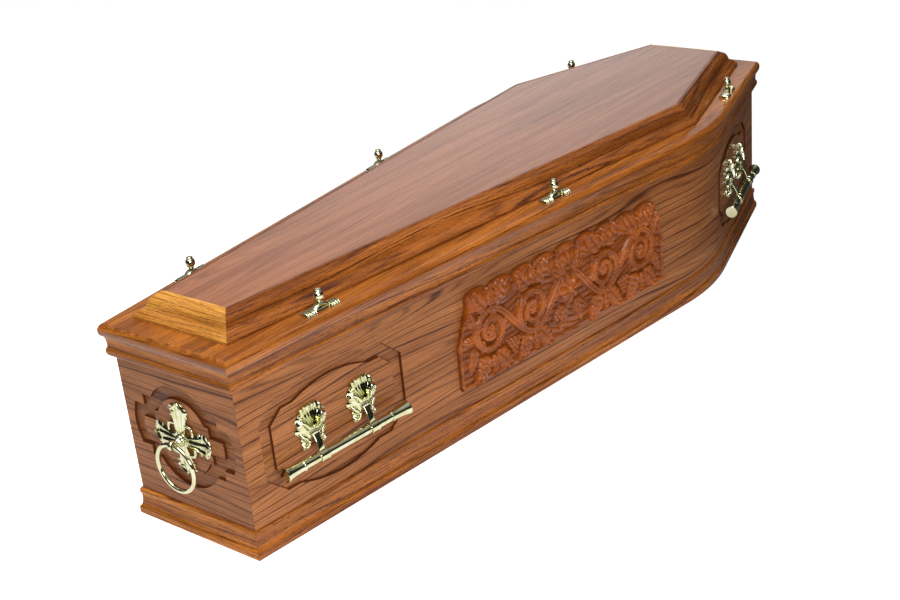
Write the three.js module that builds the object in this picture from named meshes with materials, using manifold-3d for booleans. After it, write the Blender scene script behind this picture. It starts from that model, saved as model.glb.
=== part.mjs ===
// Six-sided oak coffin with a raised lid, carved side panels and cast fittings.
// Millimetres, +Z up. The origin is on the floor under the middle of the body.
// The foot is at -X, the head at +X, the left side at +Y and the right side at -Y.
import * as THREE from 'three';
import { mergeVertices } from 'three/addons/utils/BufferGeometryUtils.js';
import Module from 'manifold-3d';

// Body
const BODY_LENGTH = 1930;
const BODY_HEIGHT = 385;
const FOOT_WIDTH = 308;
const SHOULDER_WIDTH = 622;
const HEAD_WIDTH = 316;
const SHOULDER_FROM_HEAD = 512;
const SHOULDER_BEND_RADIUS = 550;
const BEND_STEPS = 5;
const WALL = 18;
const BASE_THICKNESS = 18;
const FIT_GAP = 0.3;

// Mouldings planted on the body, as [stand-out from the board, height above the moulding's foot]
const PLINTH_HEIGHT = 56;
const PLINTH_PROFILE = [
  [0, 0], [8.5, 0], [10, 5], [10, 14], [4.5, 22], [3, 44], [5, 48], [5, 53],
  [3, PLINTH_HEIGHT], [0, PLINTH_HEIGHT],
];
const TOP_MOULDING_HEIGHT = 44;
const TOP_MOULDING_PROFILE = [
  [0, 0], [8, 3], [12, 11], [12, 17], [8.5, 22], [8.5, 29],
  [11.5, TOP_MOULDING_HEIGHT], [0, TOP_MOULDING_HEIGHT],
];

// Lid
const LID_THICKNESS = 26;
const LID_OVERHANG = 18;
const LID_EDGE = [[5, 0], [1, 4], [0, 12], [1.5, 19], [5.5, 24], [11, LID_THICKNESS]];
const FRAME_INSET = 33;
const FRAME_HEIGHT = 45;
const FRAME_PROFILE = [
  [0, 0], [0, 5], [2, 8.5], [10, 14], [17, 18.5], [19.5, 19.5], [20.5, 22.5],
  [24, 31], [29, 37.5], [36, 41.5], [41.5, 43], [43, FRAME_HEIGHT], [49, FRAME_HEIGHT],
];
const PANEL_THICKNESS = 12;
const PANEL_SEAT = 12;

// Routed grooves
const GROOVE_INNER_EDGE = -16;
const GROOVE_OUTER_EDGE = 11;
const GROOVE_DEPTH = 7;
const GROOVE_WALL_SLANT = 1.5;
const CUTTER_OVERRUN = 2;
const HANDLE_GROOVE_HALF_LENGTH = 166;
const HANDLE_GROOVE_SIDE_HEIGHT = 52;
const HANDLE_GROOVE_CHAMFER = 39;
const HANDLE_GROOVE_SHOULDER_HEIGHT = 86;
const HANDLE_GROOVE_ARC_HALF = 98;
const HANDLE_GROOVE_CROWN = 106;
const HANDLE_GROOVE_Z = 197;
const END_GROOVE_HALF_WIDTH = 123;
const END_GROOVE_HALF_HEIGHT = 94;
const END_GROOVE_SIDE_HALF = 33;
const END_GROOVE_TOP_HALF = 70;
const END_GROOVE_STEP = 29;
const END_GROOVE_ARC_RADIUS = 83;
const GROOVE_ARC_STEPS = 3;
const END_GROOVE_RISE = 21;
const END_GROOVE_Z = 210;

// Bar handles
const HANDLE_FROM_FOOT = 219.5;
const HANDLE_FROM_SHOULDER = 267;
const HANDLE_PIVOT_Z = 195;
const PLATE_SPACING = 127;
const PLATE_HALF_WIDTH = 30;
const PLATE_RISE = 63;
const PLATE_TAIL = 25;
const PLATE_PINCH = 10;
const PLATE_FLUTE = 1.5;
const PLATE_NOTCH = 4;
const PLATE_RIM = 3;
const PLATE_DOME = 9;
const PLATE_STEPS = 14;
const PLATE_RIDGE_SHARE = 0.5;
const ARM_PIVOT_OUT = 10.5;
const ARM_WIDTH = 13;
const ARM_THICKNESS = 5;
const ARM_EYE_RADIUS = 5;
const ARM_BOW = 3;
const PIN_RADIUS = 2.4;
const RUNNING_GAP = 0.6;
const CHEEK_THICKNESS = 3;
const CHEEK_MARGIN = 0.5;
const BAR_LENGTH = 310;
const BAR_RADIUS = 8.5;
const BAR_SIDES = 8;
const BAR_OUT = 27;
const BAR_DROP = 43;
const BAR_CAP_LENGTH = 46;
const BAR_CAP_RADIUS = 13.5;
const BAR_CAP_NECK_RADIUS = 10;
const COLLAR_LENGTH = 20;
const COLLAR_WALL = 3;

// Ring handles
const RING_Z = 208;
const RING_OUT = 30;
const RING_RADIUS = 47.75;
const RING_WIRE_RADIUS = 4.75;
// One arm of the cross as [half width, distance from the middle]
const CROSS_ARM = [[8, 10], [13, 42], [25, 65], [0, 76]];
const CROSS_ARM_MIDDLE = 46;
const CROSS_RIDGE_SHARE = 0.45;
const CROSS_THICKNESS = 4;
const CROSS_RIDGE = 8;
const CROSS_STRUT_REACH = 50;
const CROSS_STRUT_WIDTH = 9;
const BOSS_RADIUS = 15;
const BOSS_TOP_RADIUS = 6.5;
const LUG_RADIUS = 9.5;
const LUG_WIDTH = 10;
const LUG_GAP = 0.8;

// Lid screws
const SCREWS_FROM_HEAD = { foot: 1707, middle: 1055, head: 270 };
const SCREW_INSET = 9;
const SCREW_BASE_THICKNESS = 3.5;
const SCREW_BASE_OUTLINE = [[42, 3], [35, 8], [29, 5], [22, 6.5]];
const SCREW_BRACKET_HALF_LENGTH = 17;
const SCREW_BRACKET_TOP_HALF = 8;
const SCREW_BRACKET_HEIGHT = 15;
const SCREW_BRACKET_WIDTH = 10;
const THUMB_HEIGHT = 26;
const THUMB_RADIUS = 9.5;
const THUMB_FLATNESS = 0.75;
// The thumbscrew's profile as shares of its radius and height
const THUMB_PROFILE = [[0, 0], [0.5, 0], [0.5, 0.2], [1, 0.45], [0.9, 0.8], [0, 1]];

// Carved relief
const RELIEF_FROM_FOOT = 885;
const RELIEF_Z = 206;
const RELIEF_HALF_LENGTH = 340;
const RELIEF_HALF_HEIGHT = 103;
const RELIEF_GROUND = 5;
const RELIEF_SHOULDER_INSET = 30;
const RELIEF_SCALLOPS = 9;
const RELIEF_SCALLOP_DEPTH = 14;
const VINE_STEPS = 3;
const VINE_BRANCH = 94;
const SCROLL_SPACING = 130;
const SCROLL_FIRST = 118;
const SCROLL_RADIUS = 50;
const SCROLL_STEM_WIDTH = 13;
const SCROLL_HEIGHT = 9;
const SCROLL_TURNS = 1;
const SCROLL_CLOSING = 0.5;
const SCROLL_STEPS = 7;
const SCROLL_EYE_RADIUS = 12;
const SCROLL_EYE_HEIGHT = 8;
const LEAF_LENGTH = 46;
const LEAF_WIDTH = 27;
const LEAF_HEIGHT = 9;
const LEAF_LEAN = 0.65;
const LEAF_SPREAD = 17;
const LEAF_ROOT_GAP = 8;
// A leaf's half width and height at its root, middle and tip, as shares of its own
const LEAF_WIDTHS = [0.3, 1, 0.06];
const LEAF_HEIGHTS = [0.6, 1, 0.25];
const LEAF_WIDEST = 0.42;
const ROSETTE_RADIUS = 40;
const ROSETTE_WAIST = 29;
const ROSETTE_HEIGHT = 12;
const PETAL_RISE = 3;
const PETAL_SHARE = 0.4;
const GRAPE_RADIUS = 8;
const GRAPE_HEIGHT = 8;
const GRAPE_SHARE = 0.5;
const BUNCH_DROP = 60;

const wasm = await Module();
wasm.setup();

// Materials
function finish(color, roughness, metalness) {
  return new THREE.MeshStandardMaterial({ color, roughness, metalness });
}

const veneer = finish(0xa06946, 0.3, 0);
const panelVeneer = finish(0xb08468, 0.2, 0);
const mouldingOak = finish(0xa65f30, 0.3, 0);
const carvedOak = finish(0xa55a32, 0.4, 0);
const paleBrass = finish(0xd9d3a0, 0.15, 1);

// Solids
function solidOf(geometry) {
  const plain = geometry.clone();
  plain.deleteAttribute('normal');
  plain.deleteAttribute('uv');
  const merged = mergeVertices(plain, 1e-4);
  return new wasm.Manifold(new wasm.Mesh({
    numProp: 3,
    vertProperties: new Float32Array(merged.attributes.position.array),
    triVerts: new Uint32Array(merged.index.array),
  }));
}

function geometryOf(solid) {
  const mesh = solid.getMesh();
  const geometry = new THREE.BufferGeometry();
  geometry.setAttribute('position', new THREE.BufferAttribute(mesh.vertProperties, 3));
  geometry.setIndex(new THREE.BufferAttribute(mesh.triVerts, 1));
  geometry.computeVertexNormals();
  return geometry;
}

const join = (geometries) => geometries.map(solidOf).reduce((whole, next) => whole.add(next));
const cut = (solid, geometries) => (
  geometries.map(solidOf).reduce((whole, next) => whole.subtract(next), solid)
);

function signedVolume(positions, faces) {
  const corner = (i) => new THREE.Vector3().fromArray(positions, 3 * faces[i]);
  let volume = 0;
  for (let i = 0; i < faces.length; i += 3) {
    volume += corner(i).dot(corner(i + 1).cross(corner(i + 2))) / 6;
  }
  return volume;
}

function closedGeometry(positions, faces) {
  const outward = signedVolume(positions, faces) > 0 ? faces : faces.slice().reverse();
  const geometry = new THREE.BufferGeometry();
  geometry.setAttribute('position', new THREE.Float32BufferAttribute(positions, 3));
  geometry.setIndex(outward);
  geometry.computeVertexNormals();
  return geometry;
}

// A skin over rings of points that all follow one flat contour; a loop has no end caps.
function skin(rings, contour, loop = false) {
  const count = contour.length;
  const clockwise = THREE.ShapeUtils.isClockWise(contour);
  const flat = clockwise ? contour.slice().reverse() : contour;
  const turned = clockwise ? rings.map((ring) => ring.slice().reverse()) : rings;
  const positions = turned.flat().flatMap((point) => point.toArray());
  const faces = [];
  for (let r = 0; r < (loop ? rings.length : rings.length - 1); r += 1) {
    const near = r * count;
    const far = ((r + 1) % rings.length) * count;
    for (let i = 0; i < count; i += 1) {
      const j = (i + 1) % count;
      faces.push(near + i, near + j, far + j, near + i, far + j, far + i);
    }
  }
  if (!loop) {
    const end = (rings.length - 1) * count;
    for (const [a, b, c] of THREE.ShapeUtils.triangulateShape(flat, [])) {
      faces.push(a, c, b, end + a, end + b, end + c);
    }
  }
  return closedGeometry(positions, faces);
}

const prism = (points, low, high) => skin(
  [low, high].map((z) => points.map((point) => new THREE.Vector3(point.x, point.y, z))),
  points,
);

// Plan of the body: the left half's corners, runs and outward directions
const footCorner = new THREE.Vector2(-BODY_LENGTH / 2, FOOT_WIDTH / 2);
const shoulderCorner = new THREE.Vector2(BODY_LENGTH / 2 - SHOULDER_FROM_HEAD, SHOULDER_WIDTH / 2);
const headCorner = new THREE.Vector2(BODY_LENGTH / 2, HEAD_WIDTH / 2);
const longRun = shoulderCorner.clone().sub(footCorner).normalize();
const headRun = headCorner.clone().sub(shoulderCorner).normalize();
const outOf = (run) => new THREE.Vector2(-run.y, run.x);
const longOut = outOf(longRun);
const headOut = outOf(headRun);
const footOut = new THREE.Vector2(-1, 0);
const topOut = new THREE.Vector2(1, 0);

const mitre = (a, b) => a.clone().add(b).divideScalar(1 + a.dot(b));
const station = (at, out) => ({ at, out });

// A mitred end, moved back along its run so that two neighbours keep the fit gap.
function mitredEnd(at, out, run) {
  const slant = Math.abs(run.cross(out.clone().normalize()));
  return station(at.clone().addScaledVector(run, FIT_GAP / 2 / slant), out);
}

const back = (run) => run.clone().negate();
const footMitre = mitre(footOut, longOut);
const shoulderMitre = mitre(longOut, headOut);
const headMitre = mitre(headOut, topOut);

function bendStations() {
  const turn = Math.acos(longRun.dot(headRun));
  const tangent = SHOULDER_BEND_RADIUS * Math.tan(turn / 2);
  const centre = shoulderCorner.clone().addScaledVector(longRun, -tangent);
  centre.addScaledVector(longOut, -SHOULDER_BEND_RADIUS);
  return Array.from({ length: BEND_STEPS + 1 }, (_, i) => {
    const out = longOut.clone().rotateAround(new THREE.Vector2(), -turn * i / BEND_STEPS);
    return station(centre.clone().addScaledVector(out, SHOULDER_BEND_RADIUS), out);
  });
}

const mirrored = (point, side) => new THREE.Vector2(point.x, point.y * side);
const onSide = (stations, side) => (
  stations.map(({ at, out }) => station(mirrored(at, side), mirrored(out, side)))
);

// Paths for the mouldings and boards, on the left; onSide gives the right.
const sidePath = [
  mitredEnd(footCorner, footMitre, longRun),
  ...bendStations(),
  mitredEnd(headCorner, headMitre, back(headRun)),
];
const longPath = [
  mitredEnd(footCorner, footMitre, longRun),
  mitredEnd(shoulderCorner, shoulderMitre, back(longRun)),
];
const shortPath = [
  mitredEnd(shoulderCorner, shoulderMitre, headRun),
  mitredEnd(headCorner, headMitre, back(headRun)),
];

function endPath(corner, out) {
  const left = mitredEnd(corner, out, new THREE.Vector2(0, -1));
  return [...onSide([left], -1), left];
}

const footPath = endPath(footCorner, footMitre);
const headPath = endPath(headCorner, headMitre);

// A profile of [offset out from the body, z] points drawn along a path
function drawn(profile, path) {
  const ring = ({ at, out }) => (
    profile.map(([d, z]) => new THREE.Vector3(at.x + out.x * d, at.y + out.y * d, z))
  );
  return skin(path.map(ring), profile.map(([d, z]) => new THREE.Vector2(d, z)));
}

const shifted = (profile, outShift, zShift, sign = 1) => (
  profile.map(([d, z]) => [outShift + sign * d, zShift + z])
);

// The closed outline of the body moved out by d, bent or sharp at the shoulders
function outline(d, sharp = false) {
  const shoulders = sharp ? [station(shoulderCorner, shoulderMitre)] : bendStations();
  const left = [station(footCorner, footMitre), ...shoulders, station(headCorner, headMitre)];
  const moved = ({ at, out }) => at.clone().addScaledVector(out, d);
  return [...left.map(moved), ...onSide(left, -1).map(moved).reverse()];
}

// Groups that stand on a face: X along the face, Y up, Z out of it
function faceGroup(at, out, z, side = 1) {
  const normal = new THREE.Vector3(out.x, out.y * side, 0).normalize();
  const upright = new THREE.Vector3(0, 0, 1);
  const group = new THREE.Group();
  const along = new THREE.Vector3().crossVectors(upright, normal);
  group.quaternion.setFromRotationMatrix(new THREE.Matrix4().makeBasis(along, upright, normal));
  group.position.set(at.x, at.y * side, z);
  group.updateMatrixWorld(true);
  return group;
}

const alongRun = (corner, run, distance) => corner.clone().addScaledVector(run, distance);
const footHandleAt = alongRun(footCorner, longRun, HANDLE_FROM_FOOT);
const headHandleAt = alongRun(shoulderCorner, headRun, HANDLE_FROM_SHOULDER);
const reliefAt = alongRun(footCorner, longRun, RELIEF_FROM_FOOT);
const placed = (geometry, group) => geometry.applyMatrix4(group.matrixWorld);

// Routed grooves
function arcPoints(halfChord, baseY, crownY, steps = GROOVE_ARC_STEPS) {
  const rise = crownY - baseY;
  const radius = (halfChord ** 2 + rise ** 2) / (2 * rise);
  const half = Math.asin(halfChord / radius);
  return Array.from({ length: steps + 1 }, (_, i) => {
    const angle = -half + 2 * half * i / steps;
    return new THREE.Vector2(radius * Math.sin(angle), crownY - radius + radius * Math.cos(angle));
  });
}

const turnedHalf = (points) => points.map((point) => point.clone().negate());

function handleGroovePath() {
  const flatEnd = HANDLE_GROOVE_HALF_LENGTH - HANDLE_GROOVE_CHAMFER;
  const half = [
    new THREE.Vector2(-HANDLE_GROOVE_HALF_LENGTH, HANDLE_GROOVE_SIDE_HEIGHT),
    new THREE.Vector2(-flatEnd, HANDLE_GROOVE_SHOULDER_HEIGHT),
    ...arcPoints(HANDLE_GROOVE_ARC_HALF, HANDLE_GROOVE_SHOULDER_HEIGHT, HANDLE_GROOVE_CROWN),
    new THREE.Vector2(flatEnd, HANDLE_GROOVE_SHOULDER_HEIGHT),
    new THREE.Vector2(HANDLE_GROOVE_HALF_LENGTH, HANDLE_GROOVE_SIDE_HEIGHT),
  ];
  return [...half, ...turnedHalf(half)];
}

function endGroovePath() {
  const sagitta = (half) => END_GROOVE_ARC_RADIUS - Math.sqrt(END_GROOVE_ARC_RADIUS ** 2 - half ** 2);
  const sideEnd = END_GROOVE_HALF_WIDTH - sagitta(END_GROOVE_SIDE_HALF);
  const stepX = sideEnd - END_GROOVE_STEP;
  const stepY = END_GROOVE_SIDE_HALF + END_GROOVE_RISE;
  const sideArc = arcPoints(END_GROOVE_SIDE_HALF, sideEnd, END_GROOVE_HALF_WIDTH, 3);
  const half = [
    ...sideArc.map((point) => new THREE.Vector2(-point.y, point.x)),
    new THREE.Vector2(-stepX, END_GROOVE_SIDE_HALF),
    new THREE.Vector2(-stepX, stepY),
    ...arcPoints(END_GROOVE_TOP_HALF, stepY, END_GROOVE_HALF_HEIGHT, 6),
    new THREE.Vector2(stepX, stepY),
    new THREE.Vector2(stepX, END_GROOVE_SIDE_HALF),
  ];
  return [...half, ...turnedHalf(half)];
}

function grooveCutter(path) {
  const section = [
    [GROOVE_INNER_EDGE, CUTTER_OVERRUN],
    [GROOVE_INNER_EDGE + GROOVE_WALL_SLANT, -GROOVE_DEPTH],
    [GROOVE_OUTER_EDGE - GROOVE_WALL_SLANT, -GROOVE_DEPTH],
    [GROOVE_OUTER_EDGE, CUTTER_OVERRUN],
  ];
  const side = (a, b) => outOf(b.clone().sub(a).normalize());
  const rings = path.map((point, i) => {
    const before = path[(i + path.length - 1) % path.length];
    const after = path[(i + 1) % path.length];
    const out = mitre(side(before, point), side(point, after));
    const moved = (across) => point.clone().addScaledVector(out, across);
    return section.map(([across, z]) => new THREE.Vector3(moved(across).x, moved(across).y, z));
  });
  return skin(rings, section.map(([across, z]) => new THREE.Vector2(across, z)), true);
}

// Body boards
const wallProfile = [[-WALL, 0], [0, 0], [0, BODY_HEIGHT], [-WALL, BODY_HEIGHT]];

function sideBoard(side) {
  const board = solidOf(drawn(wallProfile, onSide(sidePath, side)));
  const grooves = [
    placed(grooveCutter(handleGroovePath()), faceGroup(footHandleAt, longOut, HANDLE_GROOVE_Z, side)),
    placed(grooveCutter(handleGroovePath()), faceGroup(headHandleAt, headOut, HANDLE_GROOVE_Z, side)),
  ];
  return geometryOf(cut(board, grooves));
}

function endBoard(path, out) {
  const board = solidOf(drawn(wallProfile, path));
  const middle = new THREE.Vector2(out.x * BODY_LENGTH / 2, 0);
  const groove = placed(grooveCutter(endGroovePath()), faceGroup(middle, out, END_GROOVE_Z));
  return geometryOf(cut(board, [groove]));
}

// Lid pieces
const lidFoot = BODY_HEIGHT + FIT_GAP;
const lidTop = BODY_HEIGHT + LID_THICKNESS;
const frameFoot = lidTop + FIT_GAP;
const panelTop = lidTop + FRAME_HEIGHT;

function lidBoard() {
  const rings = LID_EDGE.map(([inset, z]) => {
    const height = Math.max(lidFoot, BODY_HEIGHT + z);
    return outline(LID_OVERHANG - inset).map((point) => new THREE.Vector3(point.x, point.y, height));
  });
  return skin(rings, outline(LID_OVERHANG));
}

function framePiece(path) {
  const seat = FRAME_HEIGHT - PANEL_THICKNESS - FIT_GAP;
  const inner = FRAME_PROFILE[FRAME_PROFILE.length - 1][0];
  const profile = [
    ...FRAME_PROFILE.map(([inset, z]) => [inset, Math.max(z, FIT_GAP)]),
    [inner, seat], [inner + PANEL_SEAT, seat], [inner + PANEL_SEAT, FIT_GAP],
  ];
  return drawn(shifted(profile, -FRAME_INSET, lidTop, -1), path);
}

function lidPanel() {
  const inner = FRAME_PROFILE[FRAME_PROFILE.length - 1][0];
  return prism(outline(-FRAME_INSET - inner - FIT_GAP, true), panelTop - PANEL_THICKNESS, panelTop);
}

// A low cast form: rings around a middle point, each at a share of the outline's reach
function polarRelief(steps, shares, reach, height, middle = new THREE.Vector2()) {
  const contour = Array.from({ length: steps }, (_, i) => {
    const angle = 2 * Math.PI * i / steps;
    return new THREE.Vector2(Math.sin(angle), Math.cos(angle)).multiplyScalar(reach(angle, i)).add(middle);
  });
  const ring = (share, z) => contour.map((point, i) => {
    const at = middle.clone().lerp(point, share);
    return new THREE.Vector3(at.x, at.y, z(2 * Math.PI * i / steps, i));
  });
  const rings = [
    ring(1, () => FIT_GAP),
    ...shares.map((share) => ring(share, (angle, i) => height(share, angle, i))),
  ];
  return skin(rings, contour);
}

// Pins, eyes and collars lie along X.
function cylinderAlongX(radius, length, sides, y = 0, z = 0, x = 0) {
  const geometry = new THREE.CylinderGeometry(radius, radius, length, sides);
  return geometry.rotateZ(Math.PI / 2).translate(x, y, z);
}

function box(lowX, highX, lowY, highY, lowZ, highZ) {
  const geometry = new THREE.BoxGeometry(highX - lowX, highY - lowY, highZ - lowZ);
  return geometry.translate((lowX + highX) / 2, (lowY + highY) / 2, (lowZ + highZ) / 2);
}

// Leaf plate of a bar handle; its pivot is at X 0, Y 0.
const eyeSlotHalf = ARM_WIDTH / 2 + RUNNING_GAP;

function leafPlate() {
  const middle = new THREE.Vector2(0, 5);
  const reach = (angle, i) => {
    const rise = Math.cos(angle);
    const fan = PLATE_HALF_WIDTH + (PLATE_RISE - middle.y - PLATE_HALF_WIDTH) * rise ** 1.5;
    if (rise > 0) return i % 2 === 0 ? fan : fan - PLATE_NOTCH;
    const pinch = PLATE_PINCH * Math.sin(2 * angle) ** 2;
    return PLATE_HALF_WIDTH + (PLATE_TAIL + middle.y - PLATE_HALF_WIDTH) * rise ** 2 - pinch;
  };
  const flute = (share, i) => (i % 2 === 0 ? PLATE_FLUTE * share : 0);
  const height = (share, angle, i) => PLATE_RIM + (1 - share ** 2) * PLATE_DOME + flute(share, i);
  const leaf = polarRelief(PLATE_STEPS, [1, PLATE_RIDGE_SHARE], reach, height, middle);
  const slotFloor = ARM_PIVOT_OUT - ARM_EYE_RADIUS - RUNNING_GAP;
  const slotTop = ARM_EYE_RADIUS + RUNNING_GAP;
  const cheekHalf = ARM_EYE_RADIUS + CHEEK_MARGIN;
  const cheekTop = ARM_PIVOT_OUT + cheekHalf;
  const cheekSide = [
    new THREE.Vector2(-cheekHalf, CHEEK_MARGIN), new THREE.Vector2(cheekHalf, CHEEK_MARGIN),
    new THREE.Vector2(cheekHalf / 2, cheekTop), new THREE.Vector2(-cheekHalf / 2, cheekTop),
  ];
  const cheeks = [-eyeSlotHalf - CHEEK_THICKNESS, eyeSlotHalf].map((x) => skin(
    [x, x + CHEEK_THICKNESS].map((at) => cheekSide.map((point) => new THREE.Vector3(at, point.x, point.y))),
    cheekSide,
  ));
  const hollow = box(-eyeSlotHalf, eyeSlotHalf, -PLATE_TAIL, slotTop, slotFloor, ARM_PIVOT_OUT + PLATE_RISE);
  const pin = cylinderAlongX(PIN_RADIUS, 2 * eyeSlotHalf + CHEEK_THICKNESS, 6, 0, ARM_PIVOT_OUT);
  return geometryOf(cut(solidOf(leaf), [hollow]).add(join([...cheeks, pin])));
}

// Swinging arm: an eye on the plate's pin, a bowed strap and a collar round the bar
function arm() {
  const steps = 2;
  const collarRadius = BAR_RADIUS + FIT_GAP + COLLAR_WALL;
  const from = new THREE.Vector2(0, ARM_PIVOT_OUT);
  const to = new THREE.Vector2(-BAR_DROP, BAR_OUT);
  const side = outOf(to.clone().sub(from).normalize()).negate();
  const line = Array.from({ length: steps + 1 }, (_, i) => (
    from.clone().lerp(to, i / steps).addScaledVector(side, ARM_BOW * Math.sin(Math.PI * i / steps))
  ));
  const offset = (d) => line.map((point) => point.clone().addScaledVector(side, d));
  const band = [...offset(ARM_THICKNESS / 2), ...offset(-ARM_THICKNESS / 2).reverse()];
  const ring = (x) => band.map((point) => new THREE.Vector3(x, point.x, point.y));
  const strap = skin([ring(-ARM_WIDTH / 2), ring(ARM_WIDTH / 2)], band);
  const eye = cylinderAlongX(ARM_EYE_RADIUS, ARM_WIDTH, 6, 0, ARM_PIVOT_OUT);
  const collar = cylinderAlongX(collarRadius, COLLAR_LENGTH, BAR_SIDES, -BAR_DROP, BAR_OUT);
  const pinHole = cylinderAlongX(PIN_RADIUS + RUNNING_GAP, ARM_WIDTH + 2, 6, 0, ARM_PIVOT_OUT);
  const barHole = cylinderAlongX(BAR_RADIUS + FIT_GAP, COLLAR_LENGTH + 2, BAR_SIDES, -BAR_DROP, BAR_OUT);
  return geometryOf(cut(join([strap, eye, collar]), [pinHole, barHole]));
}

// Bar with flared ends
function bar() {
  const half = BAR_LENGTH / 2;
  const right = [
    [BAR_RADIUS, half - BAR_CAP_LENGTH], [BAR_CAP_NECK_RADIUS, half - BAR_CAP_LENGTH],
    [BAR_CAP_NECK_RADIUS, half - BAR_CAP_LENGTH / 2], [BAR_CAP_RADIUS, half], [0, half],
  ];
  const left = right.map(([radius, at]) => [radius, -at]).reverse();
  const profile = [...left, ...right].map(([radius, at]) => new THREE.Vector2(radius, at));
  const geometry = new THREE.LatheGeometry(profile, BAR_SIDES).rotateZ(Math.PI / 2);
  return geometryOf(solidOf(geometry.translate(0, -BAR_DROP, BAR_OUT)));
}

// Cross-shaped plate of a ring handle; the middle of its lug is at X 0, Y 0.
function crossArm(turn) {
  const contour = [
    ...CROSS_ARM.map(([x, y]) => new THREE.Vector2(x, y)),
    ...CROSS_ARM.slice(0, -1).map(([x, y]) => new THREE.Vector2(-x, y)).reverse(),
  ];
  const middle = new THREE.Vector2(0, CROSS_ARM_MIDDLE);
  const ring = (share, z) => contour.map((point) => {
    const at = middle.clone().lerp(point, share);
    return new THREE.Vector3(at.x, at.y, z);
  });
  const rings = [ring(1, FIT_GAP), ring(1, CROSS_THICKNESS), ring(CROSS_RIDGE_SHARE, CROSS_RIDGE)];
  return skin(rings, contour).rotateZ(turn);
}

// A low ridge that ties two neighbouring arms together
function crossStrut(turn) {
  const inside = CROSS_ARM[0][0] / 2;
  const ends = [new THREE.Vector2(inside, CROSS_STRUT_REACH), new THREE.Vector2(CROSS_STRUT_REACH, inside)];
  const across = outOf(ends[1].clone().sub(ends[0]).normalize());
  const half = CROSS_STRUT_WIDTH / 2;
  const section = [[-half, FIT_GAP], [half, FIT_GAP], [0, CROSS_THICKNESS + 1]];
  const rings = ends.map((end) => (
    section.map(([d, z]) => new THREE.Vector3(end.x + across.x * d, end.y + across.y * d, z))
  ));
  return skin(rings, section.map(([d, z]) => new THREE.Vector2(d, z))).rotateZ(turn);
}

function ringPlate() {
  const arms = [0, 1, 2, 3].map((quarter) => crossArm(quarter * Math.PI / 2));
  const struts = [0, 1, 2, 3].map((quarter) => crossStrut(quarter * Math.PI / 2));
  const bossHeight = RING_OUT - LUG_RADIUS / 2 - FIT_GAP;
  const boss = new THREE.CylinderGeometry(BOSS_TOP_RADIUS, BOSS_RADIUS, bossHeight, 8);
  boss.rotateX(Math.PI / 2).translate(0, 0, FIT_GAP + bossHeight / 2);
  const lug = cylinderAlongX(LUG_RADIUS, LUG_WIDTH, 8, 0, RING_OUT);
  const hole = cylinderAlongX(RING_WIRE_RADIUS + LUG_GAP, LUG_WIDTH + 2 * BOSS_RADIUS, 8, 0, RING_OUT);
  return geometryOf(cut(join([...arms, ...struts, boss, lug]), [hole]));
}

// The ring's flat uppermost facet lies in the lug.
const RING_SIDES = 16;
const ringDrop = RING_RADIUS * Math.cos(Math.PI / RING_SIDES);

function ring() {
  const geometry = new THREE.TorusGeometry(RING_RADIUS, RING_WIRE_RADIUS, 6, RING_SIDES);
  const turned = geometry.rotateZ(Math.PI / RING_SIDES).translate(0, -ringDrop, RING_OUT);
  return geometryOf(solidOf(turned));
}

// Lid screws stand on the lid: X along the edge, Z up.
function screwBase() {
  const quarter = SCREW_BASE_OUTLINE.map(([x, y]) => new THREE.Vector2(x, y));
  const flip = (sx, sy) => quarter.map((point) => new THREE.Vector2(point.x * sx, point.y * sy));
  const contour = [...flip(1, 1), ...flip(-1, 1).reverse(), ...flip(-1, -1), ...flip(1, -1).reverse()];
  const base = prism(contour, FIT_GAP, SCREW_BASE_THICKNESS);
  const shape = new THREE.Shape([
    new THREE.Vector2(-SCREW_BRACKET_HALF_LENGTH, FIT_GAP),
    new THREE.Vector2(SCREW_BRACKET_HALF_LENGTH, FIT_GAP),
    new THREE.Vector2(SCREW_BRACKET_TOP_HALF, SCREW_BRACKET_HEIGHT),
    new THREE.Vector2(-SCREW_BRACKET_TOP_HALF, SCREW_BRACKET_HEIGHT),
  ]);
  const bracket = new THREE.ExtrudeGeometry(shape, { depth: SCREW_BRACKET_WIDTH, bevelEnabled: false });
  bracket.translate(0, 0, -SCREW_BRACKET_WIDTH / 2).rotateX(Math.PI / 2);
  return geometryOf(join([base, bracket]));
}

function thumbScrew() {
  const foot = SCREW_BRACKET_HEIGHT + FIT_GAP;
  const points = THUMB_PROFILE.map(([share, rise]) => (
    new THREE.Vector2(share * THUMB_RADIUS, foot + rise * THUMB_HEIGHT)
  ));
  const geometry = new THREE.LatheGeometry(points, 6).rotateX(Math.PI / 2).scale(1, THUMB_FLATNESS, 1);
  return geometryOf(solidOf(geometry));
}

// Carved relief, X along, Y up, Z out, its middle at the origin
function reliefContour() {
  const top = RELIEF_HALF_HEIGHT - RELIEF_SCALLOP_DEPTH;
  const crownHalf = RELIEF_HALF_LENGTH - RELIEF_SHOULDER_INSET;
  const scallop = 2 * crownHalf / RELIEF_SCALLOPS;
  const crown = Array.from({ length: 3 * RELIEF_SCALLOPS + 1 }, (_, i) => (
    new THREE.Vector2(crownHalf - scallop * i / 3, i % 3 === 0 ? top : top + RELIEF_SCALLOP_DEPTH)
  ));
  return [
    new THREE.Vector2(-RELIEF_HALF_LENGTH, -RELIEF_HALF_HEIGHT),
    new THREE.Vector2(RELIEF_HALF_LENGTH, -RELIEF_HALF_HEIGHT),
    new THREE.Vector2(RELIEF_HALF_LENGTH, 0),
    ...crown,
    new THREE.Vector2(-RELIEF_HALF_LENGTH, 0),
  ];
}

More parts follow.
